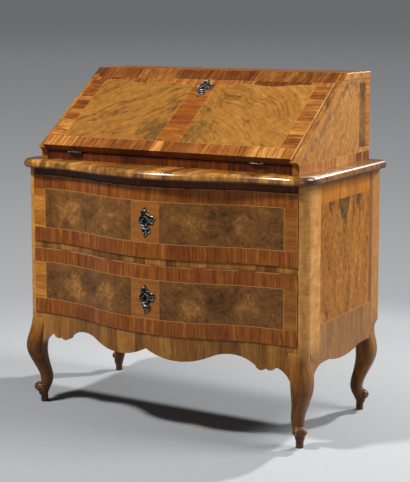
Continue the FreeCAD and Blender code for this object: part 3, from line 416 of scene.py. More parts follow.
def flap_field(g, u, v):
    """Golden burl mirrored at the middle, with smoky clouds beside the strip and small eyes."""
    a = abs(u)
    along, across = v * 0.62 - a * 0.78, a * 0.62 + v * 0.78
    stray = g.noise(g.vector(along * 0.5, across * 1.6, 3.0 + u * 2.0), 34.0, 5.0, 0.65)
    near_strip = 1.0 - g.rise(a, 0.05, 0.19)
    low = 1.0 - g.rise(v, 0.06, 0.2)
    clouds = g.spot(a, v, (0.072, 0.105), (0.09, 0.08)) + g.spot(a, v, (0.066, 0.215), (0.06, 0.06))
    smoke = g.rise(clouds * 0.8 + near_strip * low * 0.5 + (stray - 0.5) * 3.4, 0.45, 1.25)
    burl, fine = straight_wood(
        g, along, across, GOLD_BURL, seed=2.0 + g.math("SIGN", u) * 0.7, bend=0.12, lines=58.0,
        shade=u * 0.18 - near_strip * 0.02 - smoke * 0.14, streak=0.34, mottle=0.38, veins=0.13)
    burl = g.darken(burl, smoke * 0.3, OLIVE)
    eye = 1.0 - g.rise(g.dots(g.vector(u, v, stray * 0.02), 75.0), 0.08, 0.22)
    eyes = eye * g.rise(stray, 0.56, 0.66) * g.rise(v, 0.16, 0.24)
    return g.darken(burl, eyes * 0.5, rgb(92, 52, 20)), fine


def flap_bands(g, u, v):
    """Chosen pieces along the four borders, and red veneer up the middle."""
    a = abs(u)
    wave = (g.noise(g.vector(u, v, 2.0), 30.0) - 0.5) * 0.006
    upright, grain = cross_wood(g, v, u, RED_BAND, random_lay(g, v, 0.045, 1.0, 0.14), 1.0)
    left_lay = chosen_lay(g, v + wave, FLAP_LEFT_PIECES)
    right_lay = chosen_lay(g, v + wave, FLAP_RIGHT_PIECES)
    on_right = g.rise(u, -0.01, 0.01)
    side_lay = left_lay * (1.0 - on_right) + right_lay * on_right + on_right * 0.04 - 0.02
    border, _ = cross_wood(g, v, u, FLAP_BAND, side_lay, 3.0)
    foot_lay = chosen_lay(g, u + wave, FLAP_FOOT_PIECES)
    head_lay = chosen_lay(g, u + wave, FLAP_TOP_PIECES)
    high = g.rise(v, 0.17, 0.19)
    level, _ = cross_wood(g, u, v, FLAP_BAND, foot_lay * (1.0 - high) + head_lay * high, 4.0)
    between = g.within(v, FLAP_FOOT, FLAP_HEAD)
    band = g.blend(g.past(a, FLAP_FIELD) * between, level, border)
    return g.blend((1.0 - g.past(a, FLAP_STRIP)) * between, band, upright), grain


def flap_inside(g, u, v):
    """Plain burl in a red border, seen when the flap is open."""
    burl, _ = straight_wood(g, u, v, GOLD_BURL, 6.0)
    distance = frame_distance(g, u, v, FLAP_INSIDE)
    band, _ = cross_wood(g, u + v, u - v, RED_BAND, random_lay(g, u + v, 0.05, 3.0, 0.2), 3.0)
    return string_line(g, g.blend(g.past(distance), burl, band), distance)


def flap_look(g):
    u, v, out = slope_place(g)
    a = abs(u)
    ripple = g.math("COSINE", (a - RIPPLE_MIDDLE) * (2 * math.pi / RIPPLE_LENGTH)) * RIPPLE_HEIGHT
    head = ripple + (a * RIPPLE_LEAN + RIPPLE_BASE)
    distance = g.highest(g.highest(FLAP_STRIP - a, a - FLAP_FIELD), g.highest(FLAP_FOOT - v, v - head))
    burl, fine = flap_field(g, u, v)
    band, grain = flap_bands(g, u, v)
    face = g.blend(g.past(distance), burl, band)
    face = string_line(g, face, distance, 0.0006, 0.45)
    face = key_hole(g, face, u, v - FLAP_PLATE)
    outside = g.rise(out, *FLAP_CORE)
    colour = g.blend(outside, flap_inside(g, u, v), face)
    lip = g.rise(a, *FLAP_LIP) * g.rise(out, *FLAP_LIP_DEPTH)
    edge, _ = straight_wood(g, v, out, LEDGE_TONES, 8.0, shade=0.08)
    colour = g.blend(lip, colour, edge)
    # Painted shade: the flap's lower edge is darkened
    foot = 1.0 - g.rise(v, *FLAP_EDGE)
    colour = g.darken(colour, foot * 0.85, rgb(86, 36, 11))
    rough = polish(fine * 0.5 + grain * 0.5) + (1.0 - outside) * 0.3
    return colour, rough, (fine, RELIEF)


def strip_wood(g):
    """Chosen pieces across the slope above the flap, on the top board's edge and on the rail under it."""
    u, v, _ = slope_place(g)
    wave = (g.noise(g.vector(u, v, 5.0), 30.0) - 0.5) * 0.02
    return cross_wood(g, u, v, STRIP_TONES, chosen_lay(g, u + wave, TOP_PIECES) - 0.07, 11.0)


def strip_look(g):
    colour, grain = strip_wood(g)
    _, y, z = g.place()
    face, _, _ = desk_face(g, y, z)
    colour = g.blend(g.rise(abs(g.facing()[0]), 0.6, 0.8), colour, face)
    return colour, polish(grain), (grain, RELIEF)


# Drawer fronts

def drawer_look(low, high, top, plate, seed):
    """Two book-matched burl fields, a plain block for the key plate, and bands round them."""

    def look(g):
        u, _, z = g.place()
        a = abs(u)
        v = z - (low + high) / 2
        half = (high - low) / 2
        distance = g.highest(g.highest(DRAWER_BLOCK - a, a - DRAWER_FIELD), abs(v) - half)
        fold = abs(a - DRAWER_FOLD)
        stray = g.noise(g.vector(fold + u * 0.3, v, seed), 28.0, 4.0, 0.6) - 0.5
        light = g.rise(g.spot(fold, v, (0.072, -0.004), (0.052, 0.050)) + stray * 1.8, 0.25, 0.95)
        dark = g.rise(g.spot(fold, v, (0.0, 0.012), (0.060, 0.055)) - stray * 1.2, 0.2, 0.9)
        edge = g.rise(fold, 0.11, 0.17)
        # The - u * 0.05 term is painted shade: the burl fields darken towards the right, where the bowed
        # front turns from the light
        shade = light * 0.10 - dark * 0.08 - edge * 0.05 - u * 0.05
        burl, fine = burl_wood(g, u, v, BROWN_BURL, seed, shade)
        level, grain = cross_wood(g, u, z, RED_BAND, random_lay(g, u, 0.09, seed, 0.10), seed)
        end_lay = random_lay(g, z, 0.05, seed + 2.0, 0.2) + 0.06
        upright, _ = cross_wood(g, z, u, GOLD_BAND, end_lay, seed + 2.0)
        # Painted shade: the end strips darken towards the right end of the drawer
        upright = g.darken(upright, g.rise(u, 0.0, 0.3) * 0.6, rgb(108, 58, 17))
        block, _ = straight_wood(g, u, z, PLAIN_BLOCK, seed, streak=0.4)
        beside = 1.0 - g.past(abs(v), half)
        band = g.blend(g.past(a, DRAWER_FIELD) * beside, level, upright)
        band = g.blend((1.0 - g.past(a, DRAWER_BLOCK)) * beside, band, block)
        face = g.blend(g.past(distance), burl, band)
        face = string_line(g, face, g.highest(a - DRAWER_FIELD, abs(v) - half))
        face = string_line(g, face, g.highest(abs(a - DRAWER_BLOCK), abs(v) - half), 0.0006, 0.35)
        face = key_hole(g, face, u, z - plate)
        # Painted highlight: a pale line along the top arris and the right end of the front, broken in
        # patches
        tone_mark = g.highest(g.rise(z, top - 0.0024, top - 0.0012), g.rise(u, *DRAWER_END))
        patchy = g.rise(g.noise(g.vector(u, z, seed), 18.0), 0.36, 0.56)
        face = g.blend(tone_mark * patchy * 0.6, face, rgb(206, 160, 104))
        return face, polish(fine * 0.5 + grain * 0.5, 0.26), (fine, RELIEF)

    return look


# Lower case

def stile_wood(g, x, y, z):
    """The smooth golden veneer that runs round the front corner on to the side."""
    across = abs(x) + y
    colour, grain = cross_wood(
        g, z, across, STILE_TONES, random_lay(g, z, 0.11, 6.0, 0.08), 6.0, 0.42, 0.5)
    mottle = g.noise(g.vector(across * 0.6, z, 9.0), 30.0, 4.0, 0.6)
    front = 1.0 - g.rise(y, -0.200, -0.160)
    return g.darken(colour, g.rise(mottle, 0.5, 0.64) * (front * 0.14 + 0.14), rgb(112, 86, 42)), grain


def apron_wood(g, x, y, z):
    """Short pieces of veneer across the apron and the heads of the front legs."""
    # The - x * 0.14 term is painted light and shade: the apron and the front leg heads grow lighter towards
    # the left and darker towards the right
    lay = random_lay(g, x, 0.035, 5.0, 0.22) - x * 0.14 + 0.02
    return cross_wood(g, x, z + y * 0.4, APRON_TONES, lay, 5.0, 0.7)


def side_foot_wood(g, y, z):
    """Veneer along the foot of the side, which runs on to the leg heads, greyed by a painted sheen."""
    lay = random_lay(g, y, 0.05, 9.0, 0.12) + 0.03
    colour, grain = cross_wood(g, y, z, APRON_TONES, lay, 9.0)
    # Painted sheen: the band is taken part of the way to a greyish tone
    return g.darken(colour, 0.25, rgb(148, 112, 82)), grain


def leg_wood(g, x, y, z):
    """Solid walnut, darker towards the floor."""
    leg, fine = straight_wood(g, z, abs(x) * 0.7 + y * 0.7, WALNUT, 5.0, shade=0.12)
    return g.darken(leg, (1.0 - g.rise(z, 0.02, 0.14)) * 0.55, rgb(66, 46, 32)), fine


def corner_wood(g, x, y, z):
    """Stile above and leg below, running into each other; front and side differ at the leg's head."""
    stile, grain = stile_wood(g, x, y, z)
    stile = g.darken(stile, g.rise(y, 0.2, 0.21) * 0.45, BACK_STAIN)
    front, _ = apron_wood(g, x, y, z)
    flank, _ = side_foot_wood(g, y, z)
    head = g.blend(g.rise(abs(g.facing()[0]), 0.35, 0.85), front, flank)
    leg, fine = leg_wood(g, x, y, z)
    colour = g.blend(g.rise(z + x * 0.05, 0.16, 0.28), leg, head)
    return g.blend(g.rise(z, 0.235, 0.325), colour, stile), grain * 0.5 + fine * 0.5


def side_tongues(g, y, z):
    """1 inside the dark tongues that hang from the top edge of the side's field."""
    drip = (g.noise(g.vector(y, z * 0.6, 3.0), 30.0, 4.0, 0.65) - 0.5) * 0.075
    bent = y + drip + (z - SIDE_HIGH) * 0.12
    shown = None
    for at, wide, deep in SIDE_TONGUES:
        reach = (1.0 - abs(bent - at) / wide) * deep
        tongue = g.rise(z - SIDE_HIGH + reach, -0.006, 0.030) * g.rise(wide - abs(bent - at), 0.0, 0.012)
        shown = tongue if shown is None else g.highest(shown, tongue)
    return shown


def side_look(g):
    """Side panel: a flamed field in a frame of bands."""
    x, y, z = g.place()
    distance = frame_distance(g, y, z, ((SIDE_FRONT, SIDE_BACK), (SIDE_LOW, SIDE_HIGH)))
    burl, fine = straight_wood(
        g, z, y, SIDE_BURL, seed=5.0, bend=0.15, lines=26.0, streak=0.6, mottle=0.6, veins=0.04)
    smoke = g.noise(g.vector(y, z, 8.0), 60.0, 3.0)
    burl = g.darken(burl, side_tongues(g, y, z) * (smoke * 1.3 + 0.08), rgb(62, 46, 22))
    level, grain = cross_wood(g, y, z, GOLD_BAND, random_lay(g, y, 0.09, 3.0, 0.10), 3.0, 0.8)
    corner, _ = corner_wood(g, x, y, z)
    rear_lay = random_lay(g, z, 0.12, 4.0, 0.12) - 0.48
    rear, _ = cross_wood(g, z, y, STILE_TONES, rear_lay, 4.0, lines=0.6, mottle=0.4)
    rear = g.darken(rear, 0.45, BACK_STAIN)
    rear = g.darken(rear, (1.0 - g.rise(z, *REAR_SPLIT)) * 0.6, rgb(126, 74, 26))
    foot, _ = side_foot_wood(g, y, z)
    above = g.past(z, SIDE_LOW)
    level = g.blend(1.0 - above, level, foot)
    band = g.blend(g.past(y, SIDE_BACK) * above, level, rear)
    band = g.blend(1.0 - g.past(y, SIDE_FRONT), band, corner)
    colour = g.blend(g.past(distance), burl, band)
    foot_line = g.highest(abs(z - SIDE_LOW), SIDE_FRONT - y)
    back_line = g.highest(abs(y - SIDE_BACK), g.highest(SIDE_LOW - z, z - SIDE_LINE_TOP))
    for line in (foot_line, back_line):
        colour = string_line(g, colour, line, 0.0008, 0.6)
    return colour, polish(fine * 0.4 + grain * 0.6), (fine, RELIEF)


def post_look(g):
    colour, fine = corner_wood(g, *g.place())
    return colour, polish(fine, 0.28), (fine, RELIEF)


def apron_look(g):
    colour, grain = apron_wood(g, *g.place())
    return colour, polish(grain), (grain, RELIEF)


def toe_look(g):
    """Carved ridges, rubbed pale where they stand out."""
    x, y, z = g.place()
    wood, fine = leg_wood(g, x, y, z)
    rubbed = g.rise(g.noise(g.vector(x, y, z), 120.0, 3.0), 0.40, 0.62)
    return g.blend(rubbed * 0.85, wood, rgb(176, 134, 100)), polish(fine, 0.3), (fine, RELIEF)


def ledge_look(g):
    x, y, z = g.place()
    wave = (g.noise(g.vector(x, y, z), 36.0, 2.0) - 0.5) * 0.03
    front_lay = random_lay(g, x + wave * 0.5, 0.030, 1.5, 0.28) + 0.02
    front, grain = cross_wood(g, x, y + z, LEDGE_TONES, front_lay, 1.5, lines=0.5, mottle=0.7)
    flank_lay = random_lay(g, y + wave, 0.06, 7.5, 0.16) - 0.10
    flank, _ = cross_wood(g, y, abs(x) + z, LEDGE_TONES, flank_lay, 7.5, lines=0.5, mottle=0.4)
    at_side = g.rise(abs(x) + y - LEDGE_CORNER, -0.0005, 0.0005)
    colour = g.blend(at_side, front, flank)
    # Painted shade: the lower part of the ledge and the faces that turn downwards are darkened
    under = 1.0 - g.rise(z, *LEDGE_LOWER)
    colour = g.darken(colour, under * 0.6, rgb(48, 26, 10))
    down = g.rise(g.facing()[2] * -1.0, 0.05, 0.5)
    colour = g.darken(colour, down * 0.3, rgb(58, 28, 8))
    return colour, grain * 0.04 + down * 0.4 + 0.22, (grain, LEDGE_RELIEF)


def band_look(scale, piece, seed, split, lines=1.0, shade=0.0):
    """Cross-grain veneer in short pieces along the front."""

    def look(g):
        x, y, z = g.place()
        lay = random_lay(g, x, piece, seed, split) + shade
        colour, grain = cross_wood(g, x, z + y * 0.4, scale, lay, seed, lines)
        return colour, polish(grain), (grain, RELIEF)

    return look


# Upper case

def desk_face(g, y, z):
    """Outer face of the desk's end: a smoky field above a band in chosen pieces."""
    down = (y - DESK_TOP_FRONT) * math.sin(SLOPE) - (z - TOP_Z) * math.cos(SLOPE)
    distance = g.highest(DESK_BAND_TOP - z, y - DESK_FIELD_BACK)
    stray = g.noise(g.vector(y, z, 4.0), 38.0, 5.0, 0.65)
    dark = g.within(y, *SMOKED_DEPTH, 0.002) * g.within(z, *SMOKED_HEIGHT, 0.004)
    rear = g.rise(y, 0.06, 0.24) * g.rise(z, 0.80, 0.96)
    brow = 1.0 - g.rise(abs(down - 0.030), 0.0, 0.028)
    darkest = g.highest(dark * 1.7, g.highest(rear * 0.7, brow * 0.8))
    smoke = g.rise(darkest + (stray - 0.5) * 3.2, 0.35, 1.2)
    burl, fine = straight_wood(
        g, y * 0.6 + z * 0.8, z * 0.6 - y * 0.8, GOLD_BURL, seed=8.0, bend=0.14, lines=26.0,
        shade=0.10 - smoke * 0.16, streak=0.42, mottle=0.6, veins=0.05)
    burl = g.blend(0.14, burl, rgb(190, 138, 98))
    burl = g.darken(burl, smoke * 0.4, OLIVE)
    worst = g.highest(g.rise(z, 0.925, 0.955), 1.0 - g.rise(z, 0.825, 0.855)) * 0.6 + 0.4
    burl = g.darken(burl, dark * g.rise(stray, 0.36, 0.58) * worst * 0.85, rgb(76, 50, 24))
    level, grain = cross_wood(g, y, z, FLAP_BAND, chosen_lay(g, y, DESK_FOOT_PIECES) + 0.05, 5.0)
    upright, _ = cross_wood(g, z, y, GOLD_BAND, random_lay(g, z, 0.08, 1.0, 0.1), 1.0)
    band = g.blend(g.past(z, DESK_BAND_TOP), level, upright)
    face = g.blend(g.past(distance), burl, band)
    face = string_line(g, face, abs(z - DESK_BAND_TOP), 0.0007, 0.5)
    seam = g.within(z, *DESK_SEAM, 0.0006)
    face = g.darken(face, seam * 0.7, rgb(104, 64, 30))
    return face, fine * 0.5 + grain * 0.5, down


def desk_side_look(g):
    x, y, z = g.place()
    face, fine, down = desk_face(g, y, z)
    inner, _ = straight_wood(g, y, z, PLAIN_BLOCK, 2.0)
    edge, _ = straight_wood(g, y + z, x, LEDGE_TONES, 4.0)
    colour = g.blend(g.rise(abs(x), *DESK_SKIN), inner, face)
    rim = (1.0 - g.rise(down, *DESK_RIM)) * g.rise(z, *DESK_RIM_FOOT)
    colour = g.blend(rim, colour, edge)
    return colour, polish(fine), (fine, RELIEF)


def top_look(g):
    x, y, z = g.place()
    distance = frame_distance(g, x, y, TOP_FIELD)
    burl, fine = burl_wood(g, x, y, BROWN_BURL, 6.0)
    band, _ = cross_wood(g, x, y + z, RED_BAND, random_lay(g, x, 0.08, 8.0, 0.2), 8.0)
    colour = g.blend(g.past(distance), burl, band)
    colour = string_line(g, colour, distance)
    colour = g.darken(colour, 0.35, rgb(54, 34, 18))
    strip, _ = strip_wood(g)
    aside, ahead, _ = g.facing()
    colour = g.blend(g.rise(ahead * -1.0, 0.2, 0.4), colour, strip)
    face, _, _ = desk_face(g, y, z)
    # Painted highlight: a pale line along the top arris of the end face
    face = g.blend(g.rise(z, *TOP_ARRIS), face, rgb(232, 192, 142))
    colour = g.blend(g.rise(abs(aside), 0.6, 0.8), colour, face)
    return colour, polish(fine, 0.38), (fine, RELIEF)


# Boards that stay plain

def board_look(scale, axes, seed, joint=None):
    """A plain board: the grain runs along the first axis, boards lie side by side along the second."""

    def look(g):
        spot = g.place()
        along, across = spot[axes[0]], spot[axes[1]]
        colour, fine = straight_wood(g, along, across + spot[3 - axes[0] - axes[1]] * 0.5, scale, seed)
        if joint:
            part = g.math("FRACT", across / joint + 0.25)
            line = 1.0 - g.rise(g.lowest(part, 1.0 - part), 0.003, 0.012)
            colour = g.darken(colour, line * 0.8, DARK_LINE)
        tone_mark = g.noise(g.vector(*spot), 5.0, 3.0)
        colour = g.darken(colour, g.rise(tone_mark, 0.5, 0.8) * 0.3, rgb(84, 56, 32))
        return colour, fine * 0.2 + 0.45, (fine, BOARD_RELIEF)

    return look


def small_front_look(g):
    x, _, z = g.place()
    distance = frame_distance(g, abs(x), z, SMALL_FIELD)
    burl, fine = burl_wood(g, x, z, GOLD_BURL, 9.0)
    band, _ = cross_wood(g, x + z, x - z, RED_BAND, random_lay(g, x + z, 0.05, 5.0, 0.2), 5.0)
    colour = g.blend(g.past(distance), burl, band)
    colour = string_line(g, colour, distance)
    return colour, polish(fine), (fine, RELIEF)


# Metals

def metal_look(dark, bright, scale, rough):
    """Old metal: bright where it is rubbed, dull and dark elsewhere."""

    def look(g):
        spot = g.vector(*g.place())
        grime = g.noise(spot, scale, 4.0, 0.6)
        colour = g.ramp(grime, [(0.36, dark), (0.52, dark), (0.60, bright), (0.75, bright)])
        return colour, grime * 0.3 + rough, (grime, METAL_RELIEF)

    return look


# How each kind of surface shines
POLISH = {"Specular IOR Level": 0.22, "Coat Weight": 0.06, "Coat Roughness": 0.15}
SATIN = {"Specular IOR Level": 0.12}
GLOSS = {"Specular IOR Level": 0.40, "Coat Weight": 0.3, "Coat Roughness": 0.14}
WAX = {"Specular IOR Level": 0.35}
METAL = {"Metallic": 1.0}

# Every surface: its name, look, shine and the CAD pieces that wear it
LOOKS = [
    ("flap_veneer", flap_look, POLISH, ["flap_panel"]),
    ("strip_veneer", strip_look, POLISH, ["slant_rail"]),
    ("upper_drawer_veneer", drawer_look(
        low=0.553, high=0.6715, top=0.7125, plate=UPPER_PLATE, seed=3.0), POLISH, ["upper_drawer_front"]),
    ("lower_drawer_veneer", drawer_look(
        low=0.334, high=0.4475, top=0.4895, plate=LOWER_PLATE, seed=7.0), POLISH, ["lower_drawer_front"]),
    ("side_veneer", side_look, SATIN, ["left_side_panel", "right_side_panel"]),
    ("post_wood", post_look, POLISH, [
        "front_left_post", "front_right_post", "back_left_post", "back_right_post",
    ]),
    ("toe_wood", toe_look, POLISH, []),
    ("ledge_veneer", ledge_look, GLOSS, ["ledge_board"]),
    ("apron_veneer", apron_look, POLISH, ["front_apron"]),
    ("rail_veneer", band_look(
        LEDGE_TONES, piece=0.035, seed=2.0, split=0.26, lines=0.5, shade=-0.04), POLISH, ["drawer_rail"]),
    # Painted shadow: the top rail is darkened for the shadow that the ledge casts on it
    ("top_rail_veneer", band_look(
        DARK_BAND, piece=0.09, seed=4.0, split=0.14, shade=-0.16), POLISH, ["top_rail"]),
    ("desk_rail_veneer", band_look(
        DARK_BAND, piece=0.07, seed=6.0, split=0.16, shade=-0.10), POLISH, ["desk_rail"]),
    ("desk_side_veneer", desk_side_look, POLISH, ["upper_left_side", "upper_right_side"]),
    ("desk_top_veneer", top_look, SATIN, ["upper_top"]),
    ("inside_wood", board_look(PLAIN_BLOCK, (0, 1), 3.0), WAX, [
        "writing_bed", "left_shelf", "right_shelf",
    ]),
    ("partition_wood", board_look(PLAIN_BLOCK, (2, 1), 4.0), WAX, ["left_partition", "right_partition"]),
    ("small_front_veneer", small_front_look, POLISH, [
        "left_small_drawer_front", "right_small_drawer_front",
    ]),
    ("back_boards", board_look(OAK, (0, 2), 5.0, 0.16), WAX, ["lower_back_panel", "upper_back_panel"]),
    # The bottom board wears oak darkened as painted shade
    ("underside_wood", board_look(PAINTED_SHADE_OAK, (0, 1), 9.0, 0.15), WAX, ["bottom_board"]),
    ("floor_boards", board_look(OAK, (0, 1), 6.0, 0.15), WAX, [
        "dust_board", "lower_drawer_bottom", "upper_drawer_bottom",
        "left_small_drawer_bottom", "right_small_drawer_bottom",
    ]),
    ("drawer_sides", board_look(OAK, (1, 2), 7.0), WAX, [
        "lower_drawer_left_side", "lower_drawer_right_side", "upper_drawer_left_side",
        "upper_drawer_right_side", "left_small_drawer_sides", "right_small_drawer_sides",
    ]),
    ("drawer_backs", board_look(OAK, (0, 2), 8.0), WAX, [
        "lower_drawer_back", "upper_drawer_back", "left_small_drawer_back", "right_small_drawer_back",
    ]),
    ("knob_wood", board_look(WALNUT, (1, 2), 2.0), POLISH, [
        "left_small_drawer_knob", "right_small_drawer_knob",
    ]),
    ("old_brass", metal_look(rgb(44, 37, 28), rgb(138, 128, 112), scale=160.0, rough=0.34), METAL, [
        "fixed_hinge_leaves", "flap_hinge_leaves", "hinge_pins", "rail_hinge_screws", "flap_hinge_screws",
    ]),
    ("old_iron", metal_look(rgb(52, 48, 44), rgb(120, 114, 106), scale=120.0, rough=0.38), METAL, [
        "flap_lock", "lower_drawer_lock", "upper_drawer_lock",
        "flap_bolt", "lower_drawer_bolt", "upper_drawer_bolt",
    ]),
    ("plate_ground", metal_look(rgb(36, 33, 30), rgb(86, 80, 72), scale=220.0, rough=0.40), METAL, []),
    ("plate_metal", metal_look(rgb(92, 88, 82), rgb(214, 208, 198), scale=210.0, rough=0.30), METAL, [
        "flap_key_plate", "lower_drawer_key_plate", "upper_drawer_key_plate",
    ]),
]
SURFACES = {}
for title, build, settings, names in LOOKS:
    SURFACES[title] = material(title, build, settings)
    paint(SURFACES[title], *names)


# Pieces made here

def mesh_piece(name, body, parts, surfaces):
    """One object from lists of points and faces, each with its surface."""
    points, faces, kinds = [], [], []
    for kind, (part_points, part_faces) in parts:
        start = len(points)
        points += part_points
        faces += [tuple(start + i for i in face) for face in part_faces]
        kinds += [kind] * len(part_faces)
    mesh = bpy.data.meshes.new(name)
    mesh.from_pydata(points, [], faces)
    for surface in surfaces:
        mesh.materials.append(surface)
    for polygon, kind in zip(mesh.polygons, kinds):
        polygon.material_index = kind
        polygon.use_smooth = True
    mesh.update()
    piece = bpy.data.objects.new(name, mesh)
    scene.collection.objects.link(piece)
    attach(piece, body)
    return piece


def curve_at(t, p, q, r, s):
    """A number on the smooth line from q to r, at share t; p comes before them and s after."""
    bend = 2 * p - 5 * q + 4 * r - s
    turn = 3 * q - p - 3 * r + s
    return 0.5 * (2 * q + (r - p) * t + bend * t * t + turn * t ** 3)


def smooth_path(points, steps, closed=False):
    """Points on a smooth line through the given ones; each point is a list of numbers."""
    count = len(points)
    path = []
    for i in range(count if closed else count - 1):
        if closed:
            a, b, c, d = (points[(i + k) % count] for k in (-1, 0, 1, 2))
        else:
            a, b = points[max(i - 1, 0)], points[i]
            c, d = points[i + 1], points[min(i + 2, count - 1)]
        for k in range(steps):
            path.append([curve_at(k / steps, *near) for near in zip(a, b, c, d)])
    if not closed:
        path.append(list(points[-1]))
    return path


def tube(path, radii, sides=8):
    """A round bar along a path in space, closed at both ends."""
    spots = [Vector(spot) for spot in path]
    points, faces = [], []
    last = len(spots) - 1
    side = None
    for i, spot in enumerate(spots):
        along = (spots[min(i + 1, last)] - spots[max(i - 1, 0)]).normalized()
        if side is None:
            side = along.orthogonal()
        side = (side - along * side.dot(along)).normalized()
        up = along.cross(side)
        for k in range(sides):
            angle = 2 * math.pi * k / sides
            points.append(spot + (side * math.cos(angle) + up * math.sin(angle)) * radii[i])
    for i in range(last):
        for k in range(sides):
            j = (k + 1) % sides
            faces.append((i * sides + k, i * sides + j, (i + 1) * sides + j, (i + 1) * sides + k))
    for ring, tip in ((0, spots[0]), (last, spots[-1])):
        points.append(tip)
        centre = len(points) - 1
        for k in range(sides):
            j = (k + 1) % sides
            edge = (ring * sides + k, ring * sides + j)
            faces.append((edge[1], edge[0], centre) if ring == 0 else (edge[0], edge[1], centre))
    return [tuple(point) for point in points], faces


# Cast key plates, in millimetres from the keyhole: an uneven leafy outline and the scrolls on it

PLATE_EDGE = [
    (28, 12), (25, 18), (17, 20), (11, 26), (6, 33), (1, 43), (-3, 36), (-10, 31), (-12, 18), (-16, 7),
    (-14, -5), (-9, -16), (-7, -25), (-3, -33), (0, -44), (6, -35), (14, -30), (16, -21), (13, -14),
    (15, -7), (25, -2), (23, 5),
]
PLATE_SCROLLS = [
    [(6, 29, 1.0), (0, 34, 1.9), (-8, 28, 2.0), (-10, 18, 1.6), (-14, 7, 2.0),
     (-12, -4, 2.1), (-7, -13, 1.9), (-1, -18, 2.2), (5, -20, 2.3), (11, -16, 1.4)],
    [(-3, 15, 1.0), (4, 15, 1.9), (9, 8, 2.0), (8, 0, 1.8), (5, -8, 1.8), (0, -11, 1.9), (-6, -8, 1.8),
     (-8, -1, 1.8), (-6, 7, 1.6), (-2, 9, 0.9)],
    [(3, 24, 1.1), (10, 23, 2.0), (17, 18, 2.2), (24, 17, 1.9), (27, 12, 1.7), (24, 7, 1.6), (20, 9, 1.3),
     (19, 12, 0.9)],
    [(24, 1, 1.0), (18, -1, 2.0), (13, 3, 1.8), (14, 8, 1.2), (17, 7, 0.8)],
    [(11, -9, 1.0), (12, -16, 1.7), (15, -22, 1.8), (13, -28, 2.0), (7, -31, 1.8),
     (3, -37, 1.5), (0, -43, 0.7)],
    [(-4, -19, 1.0), (-6, -26, 1.6), (-1, -31, 1.6), (4, -27, 1.2), (2, -24, 0.8)],
    [(-6, 31, 0.8), (-2, 38, 1.4), (1, 43, 0.6)],
]
PLATE_SPREAD = 1.26
PLATE_STEPS = 6

# Rings of the plate, from the keyhole out: share of the way to the outline, and height
PLATE_RINGS = [(0.0, 0.2), (0.0, 1.2), (0.55, 1.5), (0.97, 0.9), (1.0, 0.0)]
KEY_ROUND, KEY_SLOT = 2.2, 3.4
SCROLL_HEIGHT = 1.6
MILLIMETRES = 1000


def key_plate(name, body, node, spot):
    """A pierced plate with raised scrolls; spot sets a point of the plate on the part."""
    edge = smooth_path([list(point) for point in PLATE_EDGE], PLATE_STEPS, True)
    count = len(edge)
    rings = []
    for share, rise in PLATE_RINGS:
        ring = []
        for x, z in edge:
            angle = math.atan2(z, x)
            down = max(0.0, -math.sin(angle)) ** 8
            hole = KEY_ROUND + KEY_SLOT * down
            reach = math.hypot(x, z)
            size = hole + (reach - hole) * share
            ring.append(spot(x / reach * size * PLATE_SPREAD, z / reach * size, rise))
        rings.append(ring)
    points = [point for ring in rings for point in ring]
    faces = []
    for i in range(len(rings)):
        after = (i + 1) % len(rings)
        for k in range(count):
            j = (k + 1) % count
            faces.append((i * count + k, after * count + k, after * count + j, i * count + j))
    parts = [(0, (points, faces))]
    for scroll in PLATE_SCROLLS:
        path = smooth_path([list(point) for point in scroll], PLATE_STEPS)
        line = [spot(x * PLATE_SPREAD, z, SCROLL_HEIGHT) for x, z, _ in path]
        parts.append((1, tube(line, [r / MILLIMETRES for _, _, r in path])))
    surfaces = [SURFACES["plate_ground"], SURFACES["plate_metal"]]
    piece = mesh_piece(name, body, parts, surfaces)
    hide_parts(node)


def drawer_spot(height):
    """Sets a point of a key plate on the bowed front of a drawer."""

    def spot(x, z, rise):
        across = x / MILLIMETRES
        bow = across ** 2 / (2 * BOW_RADIUS)
        return (across, BOW_Y - rise / MILLIMETRES + bow, height + z / MILLIMETRES)

    return spot


def flap_spot(x, z, rise):
    """Sets a point of a key plate on the flap."""
    v, out = FLAP_PLATE + z / MILLIMETRES, FLAP_FACE + rise / MILLIMETRES
    y = HINGE_Y + v * math.cos(SLOPE) - out * math.sin(SLOPE)
    return (x / MILLIMETRES, y, HINGE_Z + v * math.sin(SLOPE) + out * math.cos(SLOPE))


key_plate("upper_drawer_scrolled_plate", "upper_drawer", "upper_drawer_key_plate", drawer_spot(UPPER_PLATE))
key_plate("lower_drawer_scrolled_plate", "lower_drawer", "lower_drawer_key_plate", drawer_spot(LOWER_PLATE))
key_plate("flap_scrolled_plate", "flap", "flap_key_plate", flap_spot)


# Volutes that wind round the toes, in metres

FOOT_X = 0.44
TOE_HALF, TOE_RADIUS, TOE_HEIGHT = 0.020, 0.0145, 0.048
VOLUTE_STEPS = 56
VOLUTE_START, VOLUTE_TURN = 160.0, 640.0
VOLUTE_INNER, VOLUTE_SPREAD = 0.008, 0.0105
VOLUTE_THICK, VOLUTE_TAPER = 0.0021, 0.0009

# The eye of a volute: how far along the toe, and how thick there
EYE = [(0.015, 0.0036), (0.0185, 0.0034), (0.0205, 0.0024), (0.0215, 0.0008)]

# Each pair of feet: name, place from front to back, way out, turn in degrees, and reach of the toe
TOES = [("front", -0.169, -1.0, 26.0, 0.015), ("back", 0.244, 1.0, 45.0, 0.0105)]


